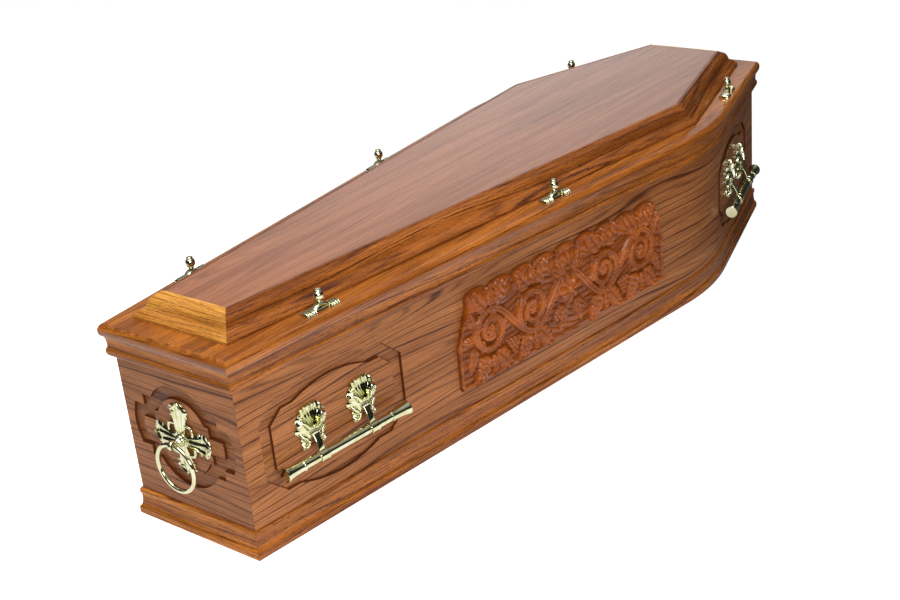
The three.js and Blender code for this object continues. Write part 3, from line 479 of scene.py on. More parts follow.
def varnished_oak(name, light, dark, streak, figure, pores, pitch_mm, gloss=0.32, coat=0.3, routed=None,
                  carved=0.0):
    """Stained oak veneer under gloss varnish: dark growth lines, open pores and a clear coat over both.

    figure is how strongly the growth lines show, pores how dark the pores are, pitch_mm how far the
    growth lines are apart, routed the colour of a routed groove's darker walls, and carved how much
    painted shade darkens a carving's recesses.
    """
    material, tree, shader = new_finish(
        name, Specular_IOR_Level=0.12, Coat_Weight=coat, Coat_Roughness=0.06, Coat_IOR=1.5)
    grain = add_node(tree, "ShaderNodeAttribute", settings={"attribute_name": "grain"}, out="Vector")
    across = add_node(tree, "ShaderNodeSeparateXYZ", {0: grain}, out="Z")
    tint = linear(streak)
    # Bands of paler and darker wood, 30 mm wide and half a metre long
    band = wood_noise(tree, grain, 500, 30, 3.0)
    wood = add_node(tree, "ShaderNodeValToRGB", {0: band},
                    stops=[(0.36, linear(dark)), (0.62, linear(light))])
    # Growth rings cut lengthwise: lines at a pitch, drawn aside by a slow noise into long arches
    drift = wood_noise(tree, grain, 1100, 70, 1.0)
    bend = add_node(tree, "ShaderNodeMath", {0: drift, 1: 6.0}, MULTIPLY)
    rings = add_node(tree, "ShaderNodeMath", {0: across, 1: 1 / (pitch_mm * MM), 2: bend}, MULTIPLY_ADD)
    wave = add_node(tree, "ShaderNodeMath", {0: rings, 1: 0.5}, {"operation": "PINGPONG"})
    line = add_node(tree, "ShaderNodeValToRGB", {0: wave}, stops=[(0.40, 0.0), (0.47, 1.0)])
    finer = add_node(tree, "ShaderNodeMath", {0: rings, 1: 3.7}, MULTIPLY)
    finer_wave = add_node(tree, "ShaderNodeMath", {0: finer, 1: 0.5}, {"operation": "PINGPONG"})
    fine_line = add_node(tree, "ShaderNodeValToRGB", {0: finer_wave}, stops=[(0.26, 0.0), (0.46, 0.55)])
    # Streaks 1.6 mm wide break the lines up, and pores 0.9 mm wide and 12 mm long lie in them: a little
    # coarser than the real ones, so that they show
    ragged = wood_noise(tree, grain, 75, 1.6, 3.0)
    streaks = add_node(tree, "ShaderNodeValToRGB", {0: ragged}, stops=[(0.42, 0.0), (0.66, 1.0)])
    pore_noise = wood_noise(tree, grain, 12, 0.9, 1.0)
    dashes = add_node(tree, "ShaderNodeValToRGB", {0: pore_noise}, stops=[(0.54, 0.0), (0.66, 1.0)])
    shown = add_node(tree, "ShaderNodeValToRGB", {0: ragged}, stops=[(0.28, 0.45), (0.55, 1.0)])
    strongest = add_node(tree, "ShaderNodeMath", {0: line, 1: fine_line}, {"operation": "MAXIMUM"})
    grown = add_node(tree, "ShaderNodeMath", {0: strongest, 1: shown}, MULTIPLY)
    grown = add_node(tree, "ShaderNodeMath", {0: grown, 1: figure}, MULTIPLY)
    veined = add_node(tree, "ShaderNodeMath", {0: streaks, 1: 0.45 * pores, 2: grown}, MULTIPLY_ADD)
    darker = add_node(tree, "ShaderNodeMath", {0: dashes, 1: 0.4 * pores, 2: veined},
                      {**MULTIPLY_ADD, "use_clamp": True})
    wood = add_node(tree, "ShaderNodeMix", {0: darker, 6: wood, 7: tint}, COLOURS, out=2)
    if routed or carved:
        height = add_node(tree, "ShaderNodeSeparateXYZ", {0: grain}, out="Y")
    if routed:
        # The walls of a routed groove, from 0.3 mm to 6 mm deep, take the darker wall colour; its floor
        # keeps nearly the board's own
        depth = add_node(tree, "ShaderNodeMath", {0: height, 1: -0.1 / MM}, MULTIPLY)
        darker_walls = add_node(tree, "ShaderNodeValToRGB", {0: depth},
                           stops=[(0.03, 0.0), (0.08, 1.0), (0.60, 0.9), (0.68, 0.12)])
        wall = linear(routed)
        wood = add_node(tree, "ShaderNodeMix", {0: darker_walls, 6: wood, 7: wall}, COLOURS, out=2)
    if carved:
        # Painted shade: the wood turns towards the dark grain colour in the recesses, fully up to 5.6 mm
        # above the board and fading out by 12 mm
        rise = add_node(tree, "ShaderNodeMath", {0: height, 1: 0.05 / MM}, MULTIPLY)
        recess_painted_shade = add_node(tree, "ShaderNodeValToRGB", {0: rise}, stops=[(0.28, carved), (0.60, 0.0)])
        wood = add_node(tree, "ShaderNodeMix", {0: recess_painted_shade, 6: wood, 7: tint}, COLOURS, out=2)
    tree.links.new(wood, shader.inputs["Base Color"])
    sheen = add_node(tree, "ShaderNodeValToRGB", {0: dashes}, stops=[(0.0, gloss), (1.0, gloss + 0.15)])
    tree.links.new(sheen, shader.inputs["Roughness"])
    bump = add_node(tree, "ShaderNodeBump", {"Strength": 0.12, "Distance": 0.3 * MM, "Height": darker},
                    {"invert": True})
    tree.links.new(bump, shader.inputs["Normal"])
    return material


def polished_brass(name, tone):
    """Pale plated brass, cast and buffed: mirror-like, with faint unevenness that buffing leaves."""
    material, tree, shader = new_finish(name, Metallic=1.0)
    place = add_node(tree, "ShaderNodeTexCoord", out="Object")
    # Patches 14 mm across, as broad as the buffing wheel's strokes
    peel = add_node(tree, "ShaderNodeTexNoise", {"Vector": place, "Scale": 1 / (14 * MM), "Detail": 2.0})
    light = linear(tone)
    deep = (light[0] * 0.86, light[1] * 0.84, light[2] * 0.66, 1.0)
    tones = add_node(tree, "ShaderNodeValToRGB", {0: peel}, stops=[(0.35, deep), (0.6, light)])
    tree.links.new(tones, shader.inputs["Base Color"])
    sheen = add_node(tree, "ShaderNodeValToRGB", {0: peel}, stops=[(0.3, 0.08), (0.7, 0.03)])
    tree.links.new(sheen, shader.inputs["Roughness"])
    bump = add_node(tree, "ShaderNodeBump", {"Strength": 0.03, "Distance": 0.3 * MM, "Height": peel})
    tree.links.new(bump, shader.inputs["Normal"])
    return material


def dress(obj, finish, node, body=ROOT):
    """Gives a piece its finish, says which body it rides on, and hides the CAD node that it stands for."""
    obj.data.materials.clear()
    obj.data.materials.append(Finishes.get(finish))
    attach(obj, body)
    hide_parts(node)


def cast(name, part, place, node, body=ROOT, smooth=50):
    """A brass piece in its place on the coffin."""
    dress(add_object(name, *moved(part, place), smooth=smooth), "brass", node, body)


def lay_grain(obj, unroll, seed):
    """Writes each face corner's place in its board: along the grain, into the board and across it."""
    mesh = obj.data
    points = np.zeros(len(mesh.vertices) * 3)
    mesh.vertices.foreach_get("co", points)
    corners = np.zeros(len(mesh.loops), dtype=int)
    mesh.loops.foreach_get("vertex_index", corners)
    places = unroll(points.reshape(-1, 3))[corners]
    shift = np.random.default_rng(seed).uniform(-40, 40, 3)
    shift[1] = 0.0
    places = places + shift
    attribute = mesh.attributes.new("grain", "FLOAT_VECTOR", "CORNER")
    attribute.data.foreach_set("vector", places.astype(np.float32).ravel())


def mirrored(unroll, side):
    """The left side's unrolling for points on either side."""
    return lambda points: unroll(points * np.array((1.0, side, 1.0)))


class Finishes:
    """The materials, made once and shared by the pieces."""
    made = {}

    @classmethod
    def get(cls, key):
        if key not in cls.made:
            c = bpy.context.scene.coffin_colours
            streak = c.grain_dark
            makers = {
                "side": lambda: varnished_oak(
                    "varnished_oak_veneer", c.side_light, c.side_dark, streak, 0.9, 0.55, 24, coat=0.08,
                    routed=c.routed_wall),
                "moulding": lambda: varnished_oak(
                    "varnished_oak_moulding", c.moulding_light, c.moulding_dark, streak, 0.7, 1.3, 15),
                "frame": lambda: varnished_oak(
                    "varnished_oak_lid_moulding", c.frame_light, c.frame_dark, streak, 0.7, 1.3, 15),
                # Painted light: a paler copy of the moulding wood for the body's end mouldings
                "end": lambda: varnished_oak(
                    "varnished_oak_end_moulding_painted_light", c.painted_lit_end_pale, c.painted_lit_end_dark, streak, 0.6, 1.1, 14, coat=0.15),
                # Painted light: a paler, golden copy of the lid moulding wood for the lid's end mouldings
                "golden": lambda: varnished_oak(
                    "varnished_oak_lid_end_painted_light", c.painted_lit_lid_end_pale, c.painted_lit_lid_end_dark, streak, 0.35, 1.0, 12),
                "ledge": lambda: varnished_oak(
                    "varnished_oak_lid_board", c.moulding_light, c.moulding_dark, streak, 0.5, 0.9, 20,
                    coat=0.6),
                "panel": lambda: varnished_oak(
                    "varnished_oak_lid_veneer", c.panel_light, c.panel_dark, streak, 0.42, 0.3, 26,
                    coat=0.9),
                # carved=0.5 paints shade into the carving's recesses
                "carving": lambda: varnished_oak(
                    "varnished_carved_oak", c.carving_light, c.carving_dark, streak, 0.15, 0.35, 20,
                    gloss=0.25, coat=0.35, carved=0.5),
                "brass": lambda: polished_brass("pale_polished_brass", c.brass),
            }
            cls.made[key] = makers[key]()
        return cls.made[key]


# Boards and their routed grooves
def arc(half_chord, base, crown, steps=16):
    """Points over an arc that stands on a chord at a height and rises to its crown."""
    rise = crown - base
    radius = (half_chord ** 2 + rise ** 2) / (2 * rise)
    half = math.asin(half_chord / radius)
    angles = [-half + 2 * half * i / steps for i in range(steps + 1)]
    return [(radius * math.sin(a), crown - radius + radius * math.cos(a)) for a in angles]


def handle_groove():
    """Line of the groove round a bar handle: upright sides, cut corners and an arched top and foot."""
    half_length, side_height, chamfer = 166 * MM, 52 * MM, 39 * MM
    shoulder, arc_half, crown = 86 * MM, 98 * MM, 106 * MM
    flat_end = half_length - chamfer
    half = [(-half_length, side_height), (-flat_end, shoulder), *arc(arc_half, shoulder, crown),
            (flat_end, shoulder), (half_length, side_height)]
    return half + [(-x, -y) for x, y in half]


def end_groove():
    """Line of the groove round a ring handle: bowed sides and an arched top and foot, joined by steps."""
    half_width, half_height, side_half = 123 * MM, 94 * MM, 33 * MM
    top_half, step, rise, radius = 70 * MM, 29 * MM, 21 * MM, 83 * MM
    side_end = half_width - (radius - math.sqrt(radius ** 2 - side_half ** 2))
    step_x, step_y = side_end - step, side_half + rise
    side = [(-y, x) for x, y in arc(side_half, side_end, half_width, 4)]
    half = [*side, (-step_x, side_half), (-step_x, step_y), *arc(top_half, step_y, half_height),
            (step_x, step_y), (step_x, side_half)]
    return half + [(-x, -y) for x, y in half]


def groove_cutter(line, body):
    """The router's path round a line: upright walls, a nearly flat floor and small rounded corners."""
    overrun, slant, depth = 2 * MM, 1.2 * MM, body.groove_depth
    inner, outer = -body.groove_inner, body.groove_outer
    section = [(inner - overrun * 0.2, overrun), (inner + slant, -depth * 0.9), (inner + slant * 2, -depth)]
    section += [(-across + inner + outer, z) for across, z in reversed(section)]
    rings = []
    count = len(line)
    for i, (x, y) in enumerate(line):
        before, after = np.array(line[i - 1]), np.array(line[(i + 1) % count])
        here = np.array((x, y))
        out = mitre(out_of(unit(here - before)), out_of(unit(after - here)))
        rings.append([(x + out[0] * across, y + out[1] * across, z) for across, z in section])
    return skin(rings, loop=True)


def cut_out(obj, cutters):
    """Cuts closed forms out of a board and keeps only the cut board."""
    for part in cutters:
        cutter = add_object("cutter", *part)
        modifier = obj.modifiers.new("cut", "BOOLEAN")
        modifier.operation = "DIFFERENCE"
        modifier.solver = "FAST"
        modifier.object = cutter
        with bpy.context.temp_override(object=obj, active_object=obj):
            bpy.ops.object.modifier_apply(modifier=modifier.name)
        bpy.data.objects.remove(cutter)
    if len(obj.data.polygons) < len(cutters[0][1]) // 2:
        raise RuntimeError(f"the grooves didn't cut into {obj.name}")


class COFFIN_OT_boards(bpy.types.Operator):
    """Side and end boards with their routed grooves, and the base board's finish"""
    bl_idname = "coffin.boards"
    bl_label = "Boards"

    def execute(self, context):
        body, fittings = context.scene.coffin_body, context.scene.coffin_fittings
        plan = Plan(body)
        groove_height = fittings.handle_height + 2 * MM
        end_groove_height = fittings.ring_height + 2 * MM
        spots = ((plan.foot, plan.long_run, plan.long_out, fittings.handle_from_foot),
                 (plan.shoulder, plan.head_run, plan.head_out, fittings.handle_from_shoulder))
        wall = [(-body.wall, 0.0), (0.0, 0.0), (0.0, body.height), (-body.wall, body.height)]
        for seed, (name, side) in enumerate(SIDES):
            board = add_object(f"oak_side_{name}", *drawn(wall, plan.side_path(), side))
            cutter = groove_cutter(handle_groove(), body)
            cut_out(board, [moved(cutter, plan.place(*spot, groove_height, side)) for spot in spots])
            shade(board, 30)
            weight_normals(board)
            lay_grain(board, mirrored(plan.unroll_side, side), 10 + seed)
            dress(board, "side", f"side_board_{name}")
        for seed, (end, out) in enumerate((("foot", plan.foot_out), ("head", plan.top_out))):
            board = add_object(f"oak_end_{end}", *drawn(wall, plan.end_path(end)))
            cutter = groove_cutter(end_groove(), body)
            middle = np.array((out[0] * plan.half_length, 0.0))
            face = plan.place(middle, plan.long_run, out, 0.0, end_groove_height, 1)
            cut_out(board, [moved(cutter, face)])
            shade(board, 30)
            weight_normals(board)
            lay_grain(board, plan.unroll_end, 20 + seed)
            dress(board, "side", f"{end}_board")
        inside = plan.outline(-body.wall - FIT_GAP)
        base = add_object("oak_base", *skin([[(x, y, z) for x, y in inside] for z in (0.0, body.wall)]))
        lay_grain(base, lambda points: points[:, [0, 2, 1]], 25)
        dress(base, "ledge", "base_board")
        return {"FINISHED"}


# Mouldings, as (stand-out, height, corner) profiles in millimetres
PLINTH_PROFILE = [
    (0, 0, True), (8.5, 0, True), (9.7, 2, False), (10, 5, False), (10, 12, False), (9.4, 15.5, False),
    (6.4, 18.8, False), (4.6, 23, False), (3.3, 32, False), (3, 43.2, True), (4.4, 44.4, False),
    (5, 47, False), (5, 51, False), (4.3, 54.5, False), (3, 56, True), (0, 56, True),
]
TOP_MOULDING_PROFILE = [
    (0, 0, True), (4.5, 0.6, False), (9.4, 4.5, False), (11.8, 10, False), (12, 14.5, False),
    (11.2, 18.5, False), (8.7, 21, True), (8.5, 24, False), (8.5, 29, False), (9.2, 36, False),
    (11.3, 44, True), (0, 44, True),
]
LID_EDGE = [
    (5, 0, True), (2, 2.2, False), (0.4, 6.5, False), (0, 11.5, False), (0.8, 17, False), (3.4, 22, False),
    (7.2, 25.2, False), (11, 26, True),
]
FRAME_PROFILE = [
    (0, 0, True), (0, 4.6, True), (1.6, 6.6, False), (4.5, 9.4, False), (10, 13.8, False), (16, 17.6, True),
    (17.4, 19.2, False), (19.3, 19.2, True), (20.6, 22.6, False), (23.4, 30, False), (28.8, 37, False),
    (35, 40.6, False), (40.4, 42.2, True), (41.6, 44.2, False), (43.6, 45, False), (49, 45, True),
]


def scaled(profile, out=0.0, up=0.0, sign=1):
    """A profile in metres, moved out and up."""
    return [(out + sign * d * MM, up + z * MM) for d, z in rounded(profile)]


class COFFIN_OT_mouldings(bpy.types.Operator):
    """Plinth and top mouldings round the body"""
    bl_idname = "coffin.mouldings"
    bl_label = "Body mouldings"

    def execute(self, context):
        body = context.scene.coffin_body
        plan = Plan(body)
        top_moulding_foot = body.height - TOP_MOULDING_PROFILE[-1][1] * MM
        kinds = (("plinth", scaled(PLINTH_PROFILE, FIT_GAP)),
                 ("top_moulding", scaled(TOP_MOULDING_PROFILE, FIT_GAP, top_moulding_foot)))
        for seed, (kind, profile) in enumerate(kinds):
            for name, side in SIDES:
                piece = add_object(f"oak_{kind}_{name}", *drawn(profile, plan.side_path(), side))
                lay_grain(piece, mirrored(plan.unroll_side, side), 30 + 4 * seed + side)
                dress(piece, "moulding", f"{kind}_{name}")
            for end in ("foot", "head"):
                piece = add_object(f"oak_{kind}_{end}", *drawn(profile, plan.end_path(end)))
                lay_grain(piece, plan.unroll_end, 40 + 4 * seed + len(end) + (end == "head"))
                # The end mouldings take the paler copy of the wood, painted light
                dress(piece, "end", f"{kind}_{end}")
        return {"FINISHED"}


class COFFIN_OT_lid(bpy.types.Operator):
    """Lid board with its rounded edge, the raised mouldings and the top panel"""
    bl_idname = "coffin.lid"
    bl_label = "Lid"

    def execute(self, context):
        body, lid = context.scene.coffin_body, context.scene.coffin_lid
        plan = Plan(body)
        top = body.height + lid.thickness
        panel_thickness, rebate = 12 * MM, 12 * MM
        rings = []
        for inset, z in rounded(LID_EDGE):
            height = max(body.height + FIT_GAP, body.height + z * MM)
            rings.append([(x, y, height) for x, y in plan.outline(lid.overhang - inset * MM)])
        board = add_object("oak_lid_board", *skin(rings))
        self.lay_lid_grain(board, plan)
        dress(board, "ledge", "lid_board")
        weight_normals(board)

        profile = scaled(FRAME_PROFILE, -lid.frame_inset, top, -1)
        profile[0] = (profile[0][0], top + FIT_GAP)
        inner = -lid.frame_inset - FRAME_PROFILE[-1][0] * MM
        seat = top + lid.frame_height - panel_thickness - FIT_GAP
        profile += [(inner, seat), (inner - rebate, seat), (inner - rebate, top + FIT_GAP)]
        kinds = (("long", plan.long_path(), plan.unroll_long),
                 ("short", plan.short_path(), plan.unroll_short))
        for seed, (kind, path, unroll) in enumerate(kinds):
            for name, side in SIDES:
                piece = add_object(f"oak_lid_frame_{kind}_{name}", *drawn(profile, path, side))
                weight_normals(piece)
                lay_grain(piece, mirrored(unroll, side), 50 + 4 * seed + side)
                dress(piece, "frame", f"lid_frame_{kind}_{name}")
        for seed, end in enumerate(("foot", "head")):
            piece = add_object(f"oak_lid_frame_{end}", *drawn(profile, plan.end_path(end)))
            weight_normals(piece)
            lay_grain(piece, plan.unroll_end, 60 + seed)
            # The lid's end mouldings take the golden copy of the wood, painted light
            dress(piece, "golden", f"lid_frame_{end}")

        panel_top = top + lid.frame_height
        outline = plan.outline(inner - FIT_GAP, sharp=True)
        easing = 0.6 * MM
        eased = plan.outline(inner - FIT_GAP - easing, sharp=True)
        levels = ((outline, panel_top - panel_thickness), (outline, panel_top - easing), (eased, panel_top))
        panel = add_object("oak_lid_panel", *skin([[(x, y, z) for x, y in points] for points, z in levels]))
        weight_normals(panel)
        lay_grain(panel, lambda points: points[:, [0, 2, 1]], 70)
        dress(panel, "panel", "lid_panel")
        return {"FINISHED"}

    def lay_lid_grain(self, board, plan):
        """The board's grain runs from foot to head, and its edge's along each edge."""
        lay_grain(board, lambda points: points[:, [0, 2, 1]], 71)
        mesh = board.data
        values = mesh.attributes["grain"].data
        for face in mesh.polygons:
            if abs(face.normal.z) > 0.98:
                continue
            points = np.array([mesh.vertices[i].co for i in face.vertices])
            at_end = abs(face.normal.x) > 0.9
            side = 1 if face.center.y > 0 else -1
            places = plan.unroll_end(points) if at_end else mirrored(plan.unroll_side, side)(points)
            shift = 3.0 if at_end else 5.0 + side
            for corner, place in zip(face.loop_indices, places):
                values[corner].vector = place + shift


# Carved side panels
def ridge(x, y, line, half_width, height, flute=0.0):
    """Height of a rounded rib along a line of points; half_width and height are functions of the share."""
    best = np.zeros_like(x)
    last = len(line) - 1
    for i in range(last):
        a, b = np.array(line[i]), np.array(line[i + 1])
        run = b - a
        t = np.clip(((x - a[0]) * run[0] + (y - a[1]) * run[1]) / (run @ run), 0, 1)
        away = np.hypot(x - a[0] - t * run[0], y - a[1] - t * run[1])
        along = (i + t) / last
        across = np.clip(away / half_width(along), 0, 1)
        rib = height(along) * np.sqrt(1 - across ** 2)
        if flute:
            rib = rib * (1 - flute * np.exp(-(across / 0.28) ** 2))
        best = np.maximum(best, np.where(across < 1, rib, 0))
    return best


def carved_leaf(x, y, root, angle, reach, width, height, lobes=5, curl=0.0):
    """Height of an acanthus leaf: lobed edge, a midrib groove and veins, rising towards its tip."""
    c, s = math.cos(angle), math.sin(angle)
    u = ((x - root[0]) * c + (y - root[1]) * s) / reach
    v = (-(x - root[0]) * s + (y - root[1]) * c) / (width / 2)
    v = v - curl * u ** 2
    inside = (u > 0) & (u < 1)
    u = np.clip(u, 0, 1)
    body = np.sin(math.pi * np.clip(u, 0, 1) ** 0.75) ** 0.7 * (1 - 0.25 * u)
    phase = lobes * (u - 0.18 * np.abs(v))
    edge = body * (0.80 + 0.20 * np.abs(np.sin(math.pi * phase)))
    across = np.abs(v) / np.maximum(edge, 1e-3)
    cup = 1 - np.clip(across, 0, 1) ** 4
    veins = 0.84 + 0.16 * np.abs(np.sin(math.pi * phase))
    groove = 1 - 0.30 * np.exp(-(v / 0.10) ** 2)
    rise = 0.55 + 0.45 * np.sin(math.pi * (0.15 + 0.75 * u))
    return np.where(inside & (across < 1), height * cup ** 0.5 * veins * groove * rise, 0)


def carved_rosette(x, y, centre, radius, height, petals=8):
    """Height of an open flower with a button in the middle."""
    r = np.hypot(x - centre[0], y - centre[1]) / radius
    a = np.arctan2(y - centre[1], x - centre[0])
    petal = np.abs(np.cos(petals * a / 2))
    edge = 0.72 + 0.28 * petal ** 0.6
    across = np.clip(r / edge, 0, 1)
    bowl = np.sin(math.pi * (0.2 + 0.7 * across)) * (0.65 + 0.35 * petal)
    flower = np.where(r < edge, height * bowl * np.clip((1 - across) * 6, 0, 1) ** 0.4, 0)
    button = np.where(r < 0.24, height * (0.5 + 0.7 * np.sqrt(np.clip(1 - (r / 0.24) ** 2, 0, 1))), 0)
    return np.maximum(flower, button)


def grapes(x, y, centre, radius, height):
    """Height of a hanging bunch of grapes, widest at its top."""
    best = np.zeros_like(x)
    for row, count in enumerate((4, 3, 2, 1)):
        for i in range(count):
            gx = centre[0] + (i - (count - 1) / 2) * 1.75 * radius
            gy = centre[1] + (1.5 - row) * 1.5 * radius
            r = np.hypot(x - gx, y - gy) / radius
            grape = height * (0.45 + 0.55 * np.sqrt(np.clip(1 - r * r, 0, 1)))
            best = np.maximum(best, np.where(r < 1, grape, 0))
    return best


class Carving:
    """Layout and heights of the carved side panel, in metres about its middle."""
    ground = 5 * MM
    shoulder_inset = 30 * MM
    scallop_depth = 14 * MM
    scroll_first = 118 * MM
    scroll_spacing = 130 * MM
    scroll_radius = 50 * MM
    scroll_turns = 1.55
    stem = 13 * MM
    branch = 94 * MM

    def __init__(self, sizes):
        self.half_length = sizes.half_length
        self.half_height = sizes.half_height
        self.scallops = sizes.scallops
        self.crown_half = self.half_length - self.shoulder_inset

    def top(self, x):
        """Upper edge: a row of round scallops."""
        pitch = 2 * self.crown_half / self.scallops
        offset = (x + self.crown_half) / pitch
        within = 2 * (offset - np.floor(offset)) - 1
        arch = np.sqrt(np.clip(1 - within ** 2, 0, 1))
        low = self.half_height - self.scallop_depth
        return np.where(np.abs(x) < self.crown_half, low + self.scallop_depth * arch, low)

    def half_width(self, y):
        """Half the panel's length at a height: upright sides below the middle that lean in above it."""
        lean = np.clip(y / (self.half_height - self.scallop_depth), 0, 1)
        return self.half_length - self.shoulder_inset * lean

    def place(self, s, t):
        """Grid to panel."""
        x = s * self.half_width(-self.half_height + 2 * self.half_height * t)
        y = -self.half_height + t * (self.top(s * self.crown_half) + self.half_height)
        return x, y

    def scroll_line(self, centre, sense, row, steps=44):
        """A branch that rises to a scroll's circle and winds into it."""
        line = []
        for i in range(8):
            back = self.branch * (1 - i / 8)
            wave = math.cos(math.pi * back / self.scroll_spacing)
            line.append((centre[0] - sense * back, centre[1] - row * self.scroll_radius * wave))
        for i in range(steps + 1):
            t = i / steps
            angle = row * (sense * 2 * math.pi * self.scroll_turns * t - math.pi / 2)
            reach = self.scroll_radius * (1 - 0.70 * t)
            line.append((centre[0] + reach * math.cos(angle), centre[1] + reach * math.sin(angle)))
        return line

    def height(self, x, y, s, t):
        """Height of the carving over the board at each point."""
        h = np.zeros_like(x)
        for sense in (-1, 1):
            for i, row in enumerate((1, -1)):
                cx = sense * (self.scroll_first + i * self.scroll_spacing)
                h = np.maximum(h, ridge(x, y, self.scroll_line((cx, 0.0), sense, row),
                                        lambda a: self.stem * (0.80 - 0.30 * a), lambda a: 14 * MM, 0.35))
                h = np.maximum(h, self.leaves(x, y, cx, sense, row))
                h = np.maximum(h, carved_rosette(x, y, (cx, 0.0), 17 * MM, 13 * MM, 6))
            gap = sense * (self.scroll_first + self.scroll_spacing / 2)
            h = np.maximum(h, grapes(x, y, (gap, -62 * MM), 6.2 * MM, 12 * MM))
            h = np.maximum(h, self.middle_leaves(x, y, sense))
        h = np.maximum(h, carved_rosette(x, y, (0.0, 0.0), 40 * MM, 15 * MM, 8))
        h = np.maximum(h, self.shells(x, y))
        return self.ground + np.maximum(h, self.tooled_ground(x, y)) + self.border(x, y)

    def shells(self, x, y):
        """A fluted shell under each scallop of the upper edge."""
        pitch = 2 * self.crown_half / self.scallops
        offset = (x + self.crown_half) / pitch
        dx = (offset - np.floor(offset) - 0.5) * pitch
        dy = y - (self.half_height - 36 * MM)
        r = np.hypot(dx / (pitch * 0.5), dy / (36 * MM))
        flutes = 0.78 + 0.22 * np.abs(np.cos(4.5 * np.arctan2(dx, dy + 8 * MM)))
        inside = (r < 1) & (dy > -8 * MM) & (np.abs(x) < self.crown_half)
        return np.where(inside, 14 * MM * np.sqrt(np.clip(1 - r * r, 0, 1)) * flutes, 0)

    def tooled_ground(self, x, y):
        """Flowing reeds that fill the ground between the stems and leaves."""
        flow = y + 18 * MM * np.sin(x / (60 * MM)) + 5 * MM * np.sin(x / (27 * MM) + 1.3)
        reeds = np.abs(np.sin(math.pi * flow / (15 * MM))) ** 0.6
        fine = np.abs(np.sin(math.pi * flow / (5 * MM) + 0.6))
        return (2.8 * reeds + 0.8 * fine) * MM

    def leaves(self, x, y, cx, sense, row):
        """Leaves above and below a scroll, and shorter ones that spring from its winding."""
        h = np.zeros_like(x)
        for rise in (1, -1):
            for lean in (1, -1):
                root = (cx + lean * 12 * MM, rise * 52 * MM)
                angle = rise * (math.pi / 2 - lean * 0.75)
                outer = carved_leaf(x, y, root, angle, 70 * MM, 50 * MM, 16 * MM, 5, lean * rise * 0.3)
                h = np.maximum(h, outer)
            root, upright = (cx, rise * 54 * MM), rise * math.pi / 2
            h = np.maximum(h, carved_leaf(x, y, root, upright, 46 * MM, 26 * MM, 17 * MM, 4))
        for k in range(5):
            angle = row * (sense * 2 * math.pi * (k + 0.6) / 5 - math.pi / 2)
            root = (cx + 30 * MM * math.cos(angle), 30 * MM * math.sin(angle))
            turned = angle + row * sense
            h = np.maximum(h, carved_leaf(x, y, root, turned, 32 * MM, 22 * MM, 12 * MM, 3))
        return h

    def middle_leaves(self, x, y, sense):
        """Leaves round the middle flower, and the outer ones that fill the panel's corners."""
        h = np.zeros_like(x)
        for rise in (1, -1):
            for turn, reach in ((0.35, 60), (0.95, 50)):
                angle = rise * (math.pi / 2 - sense * turn)
                root = (sense * 16 * MM, rise * 34 * MM)
                h = np.maximum(h, carved_leaf(x, y, root, angle, reach * MM, 30 * MM, 12 * MM, 5))
            corner = (sense * (self.half_length - 44 * MM), rise * 22 * MM)
            angle = math.atan2(rise * 0.9, sense * 0.35)
            h = np.maximum(h, carved_leaf(x, y, corner, angle, 60 * MM, 34 * MM, 11 * MM, 5))
        end = (sense * (self.half_length - 46 * MM), 0.0)
        outwards = 0.0 if sense > 0 else math.pi
        return np.maximum(h, carved_leaf(x, y, end, outwards, 38 * MM, 22 * MM, 11 * MM, 4))

    def border(self, x, y):
        """A raised bead that follows the scalloped edge, and a plain fillet along the foot."""
        below = self.top(x) - y
        bead = 4.5 * MM * np.exp(-((below - 6 * MM) / (3.2 * MM)) ** 2)
        foot = 3.5 * MM * (1 - smoothstep(6 * MM, 8.5 * MM, y + self.half_height))
        inwards = self.half_width(y) - np.abs(x)
        side = 4.0 * MM * np.exp(-((inwards - 5 * MM) / (3.0 * MM)) ** 2)
        return np.maximum(np.maximum(bead, foot), side)


class COFFIN_OT_carving(bpy.types.Operator):
    """Carved foliage panels on the long sides"""
    bl_idname = "coffin.carving"
    bl_label = "Carved panels"

    def execute(self, context):
        plan, sizes = Plan(context.scene.coffin_body), context.scene.coffin_carving
        carving = Carving(sizes)
        columns = int(2 * sizes.half_length / sizes.cell)
        rows = int(2 * sizes.half_height / sizes.cell)
        part = plate(columns, rows, carving.place, carving.height)
        for seed, (name, side) in enumerate(SIDES):
            face = plan.place(plan.foot, plan.long_run, plan.long_out, sizes.from_foot, sizes.height, side)
            panel = add_object(f"carved_panel_{name}", *moved(part, face), smooth=60)
            lay_grain(panel, mirrored(plan.unroll_side, side), 80 + seed)
            dress(panel, "carving", f"relief_{name}")
        return {"FINISHED"}


# Bar handles
PIVOT_OUT = 10.5 * MM
BAR_OUT = 27 * MM
BAR_DROP = 43 * MM
ARM_WIDTH = 13 * MM
# The leaf's outline, as (degrees from upright, millimetres from its middle)
LEAF_REACH = [
    (0, 52), (14, 52.5), (21.6, 52), (29, 49), (35, 44), (38.5, 41), (44, 42), (52, 41), (59, 38.6),
    (64, 35.5), (68, 32.5), (73, 33), (80, 34.5), (87, 33), (95, 29), (103, 27), (114, 26.5), (124, 28),
    (131, 34), (137, 39), (143, 41), (149, 40), (154, 35), (159, 27), (164, 19), (170, 13), (180, 11),
]
RIB_TURN = math.radians(9.3)
FAN_TURN = math.radians(31)
LEAF_SCROLLS = (
    # (line, half width, height) of the left half, in millimetres
    ([(-12.5, 13), (-17, 23), (-23.5, 29), (-29.5, 28), (-32, 22)], 5.0, 7.5),
    ([(-27, -1), (-20.5, -6), (-16, -13), (-15.5, -20), (-19, -27), (-24.5, -26.5), (-26, -23)],
     4.6, 7.0),
)


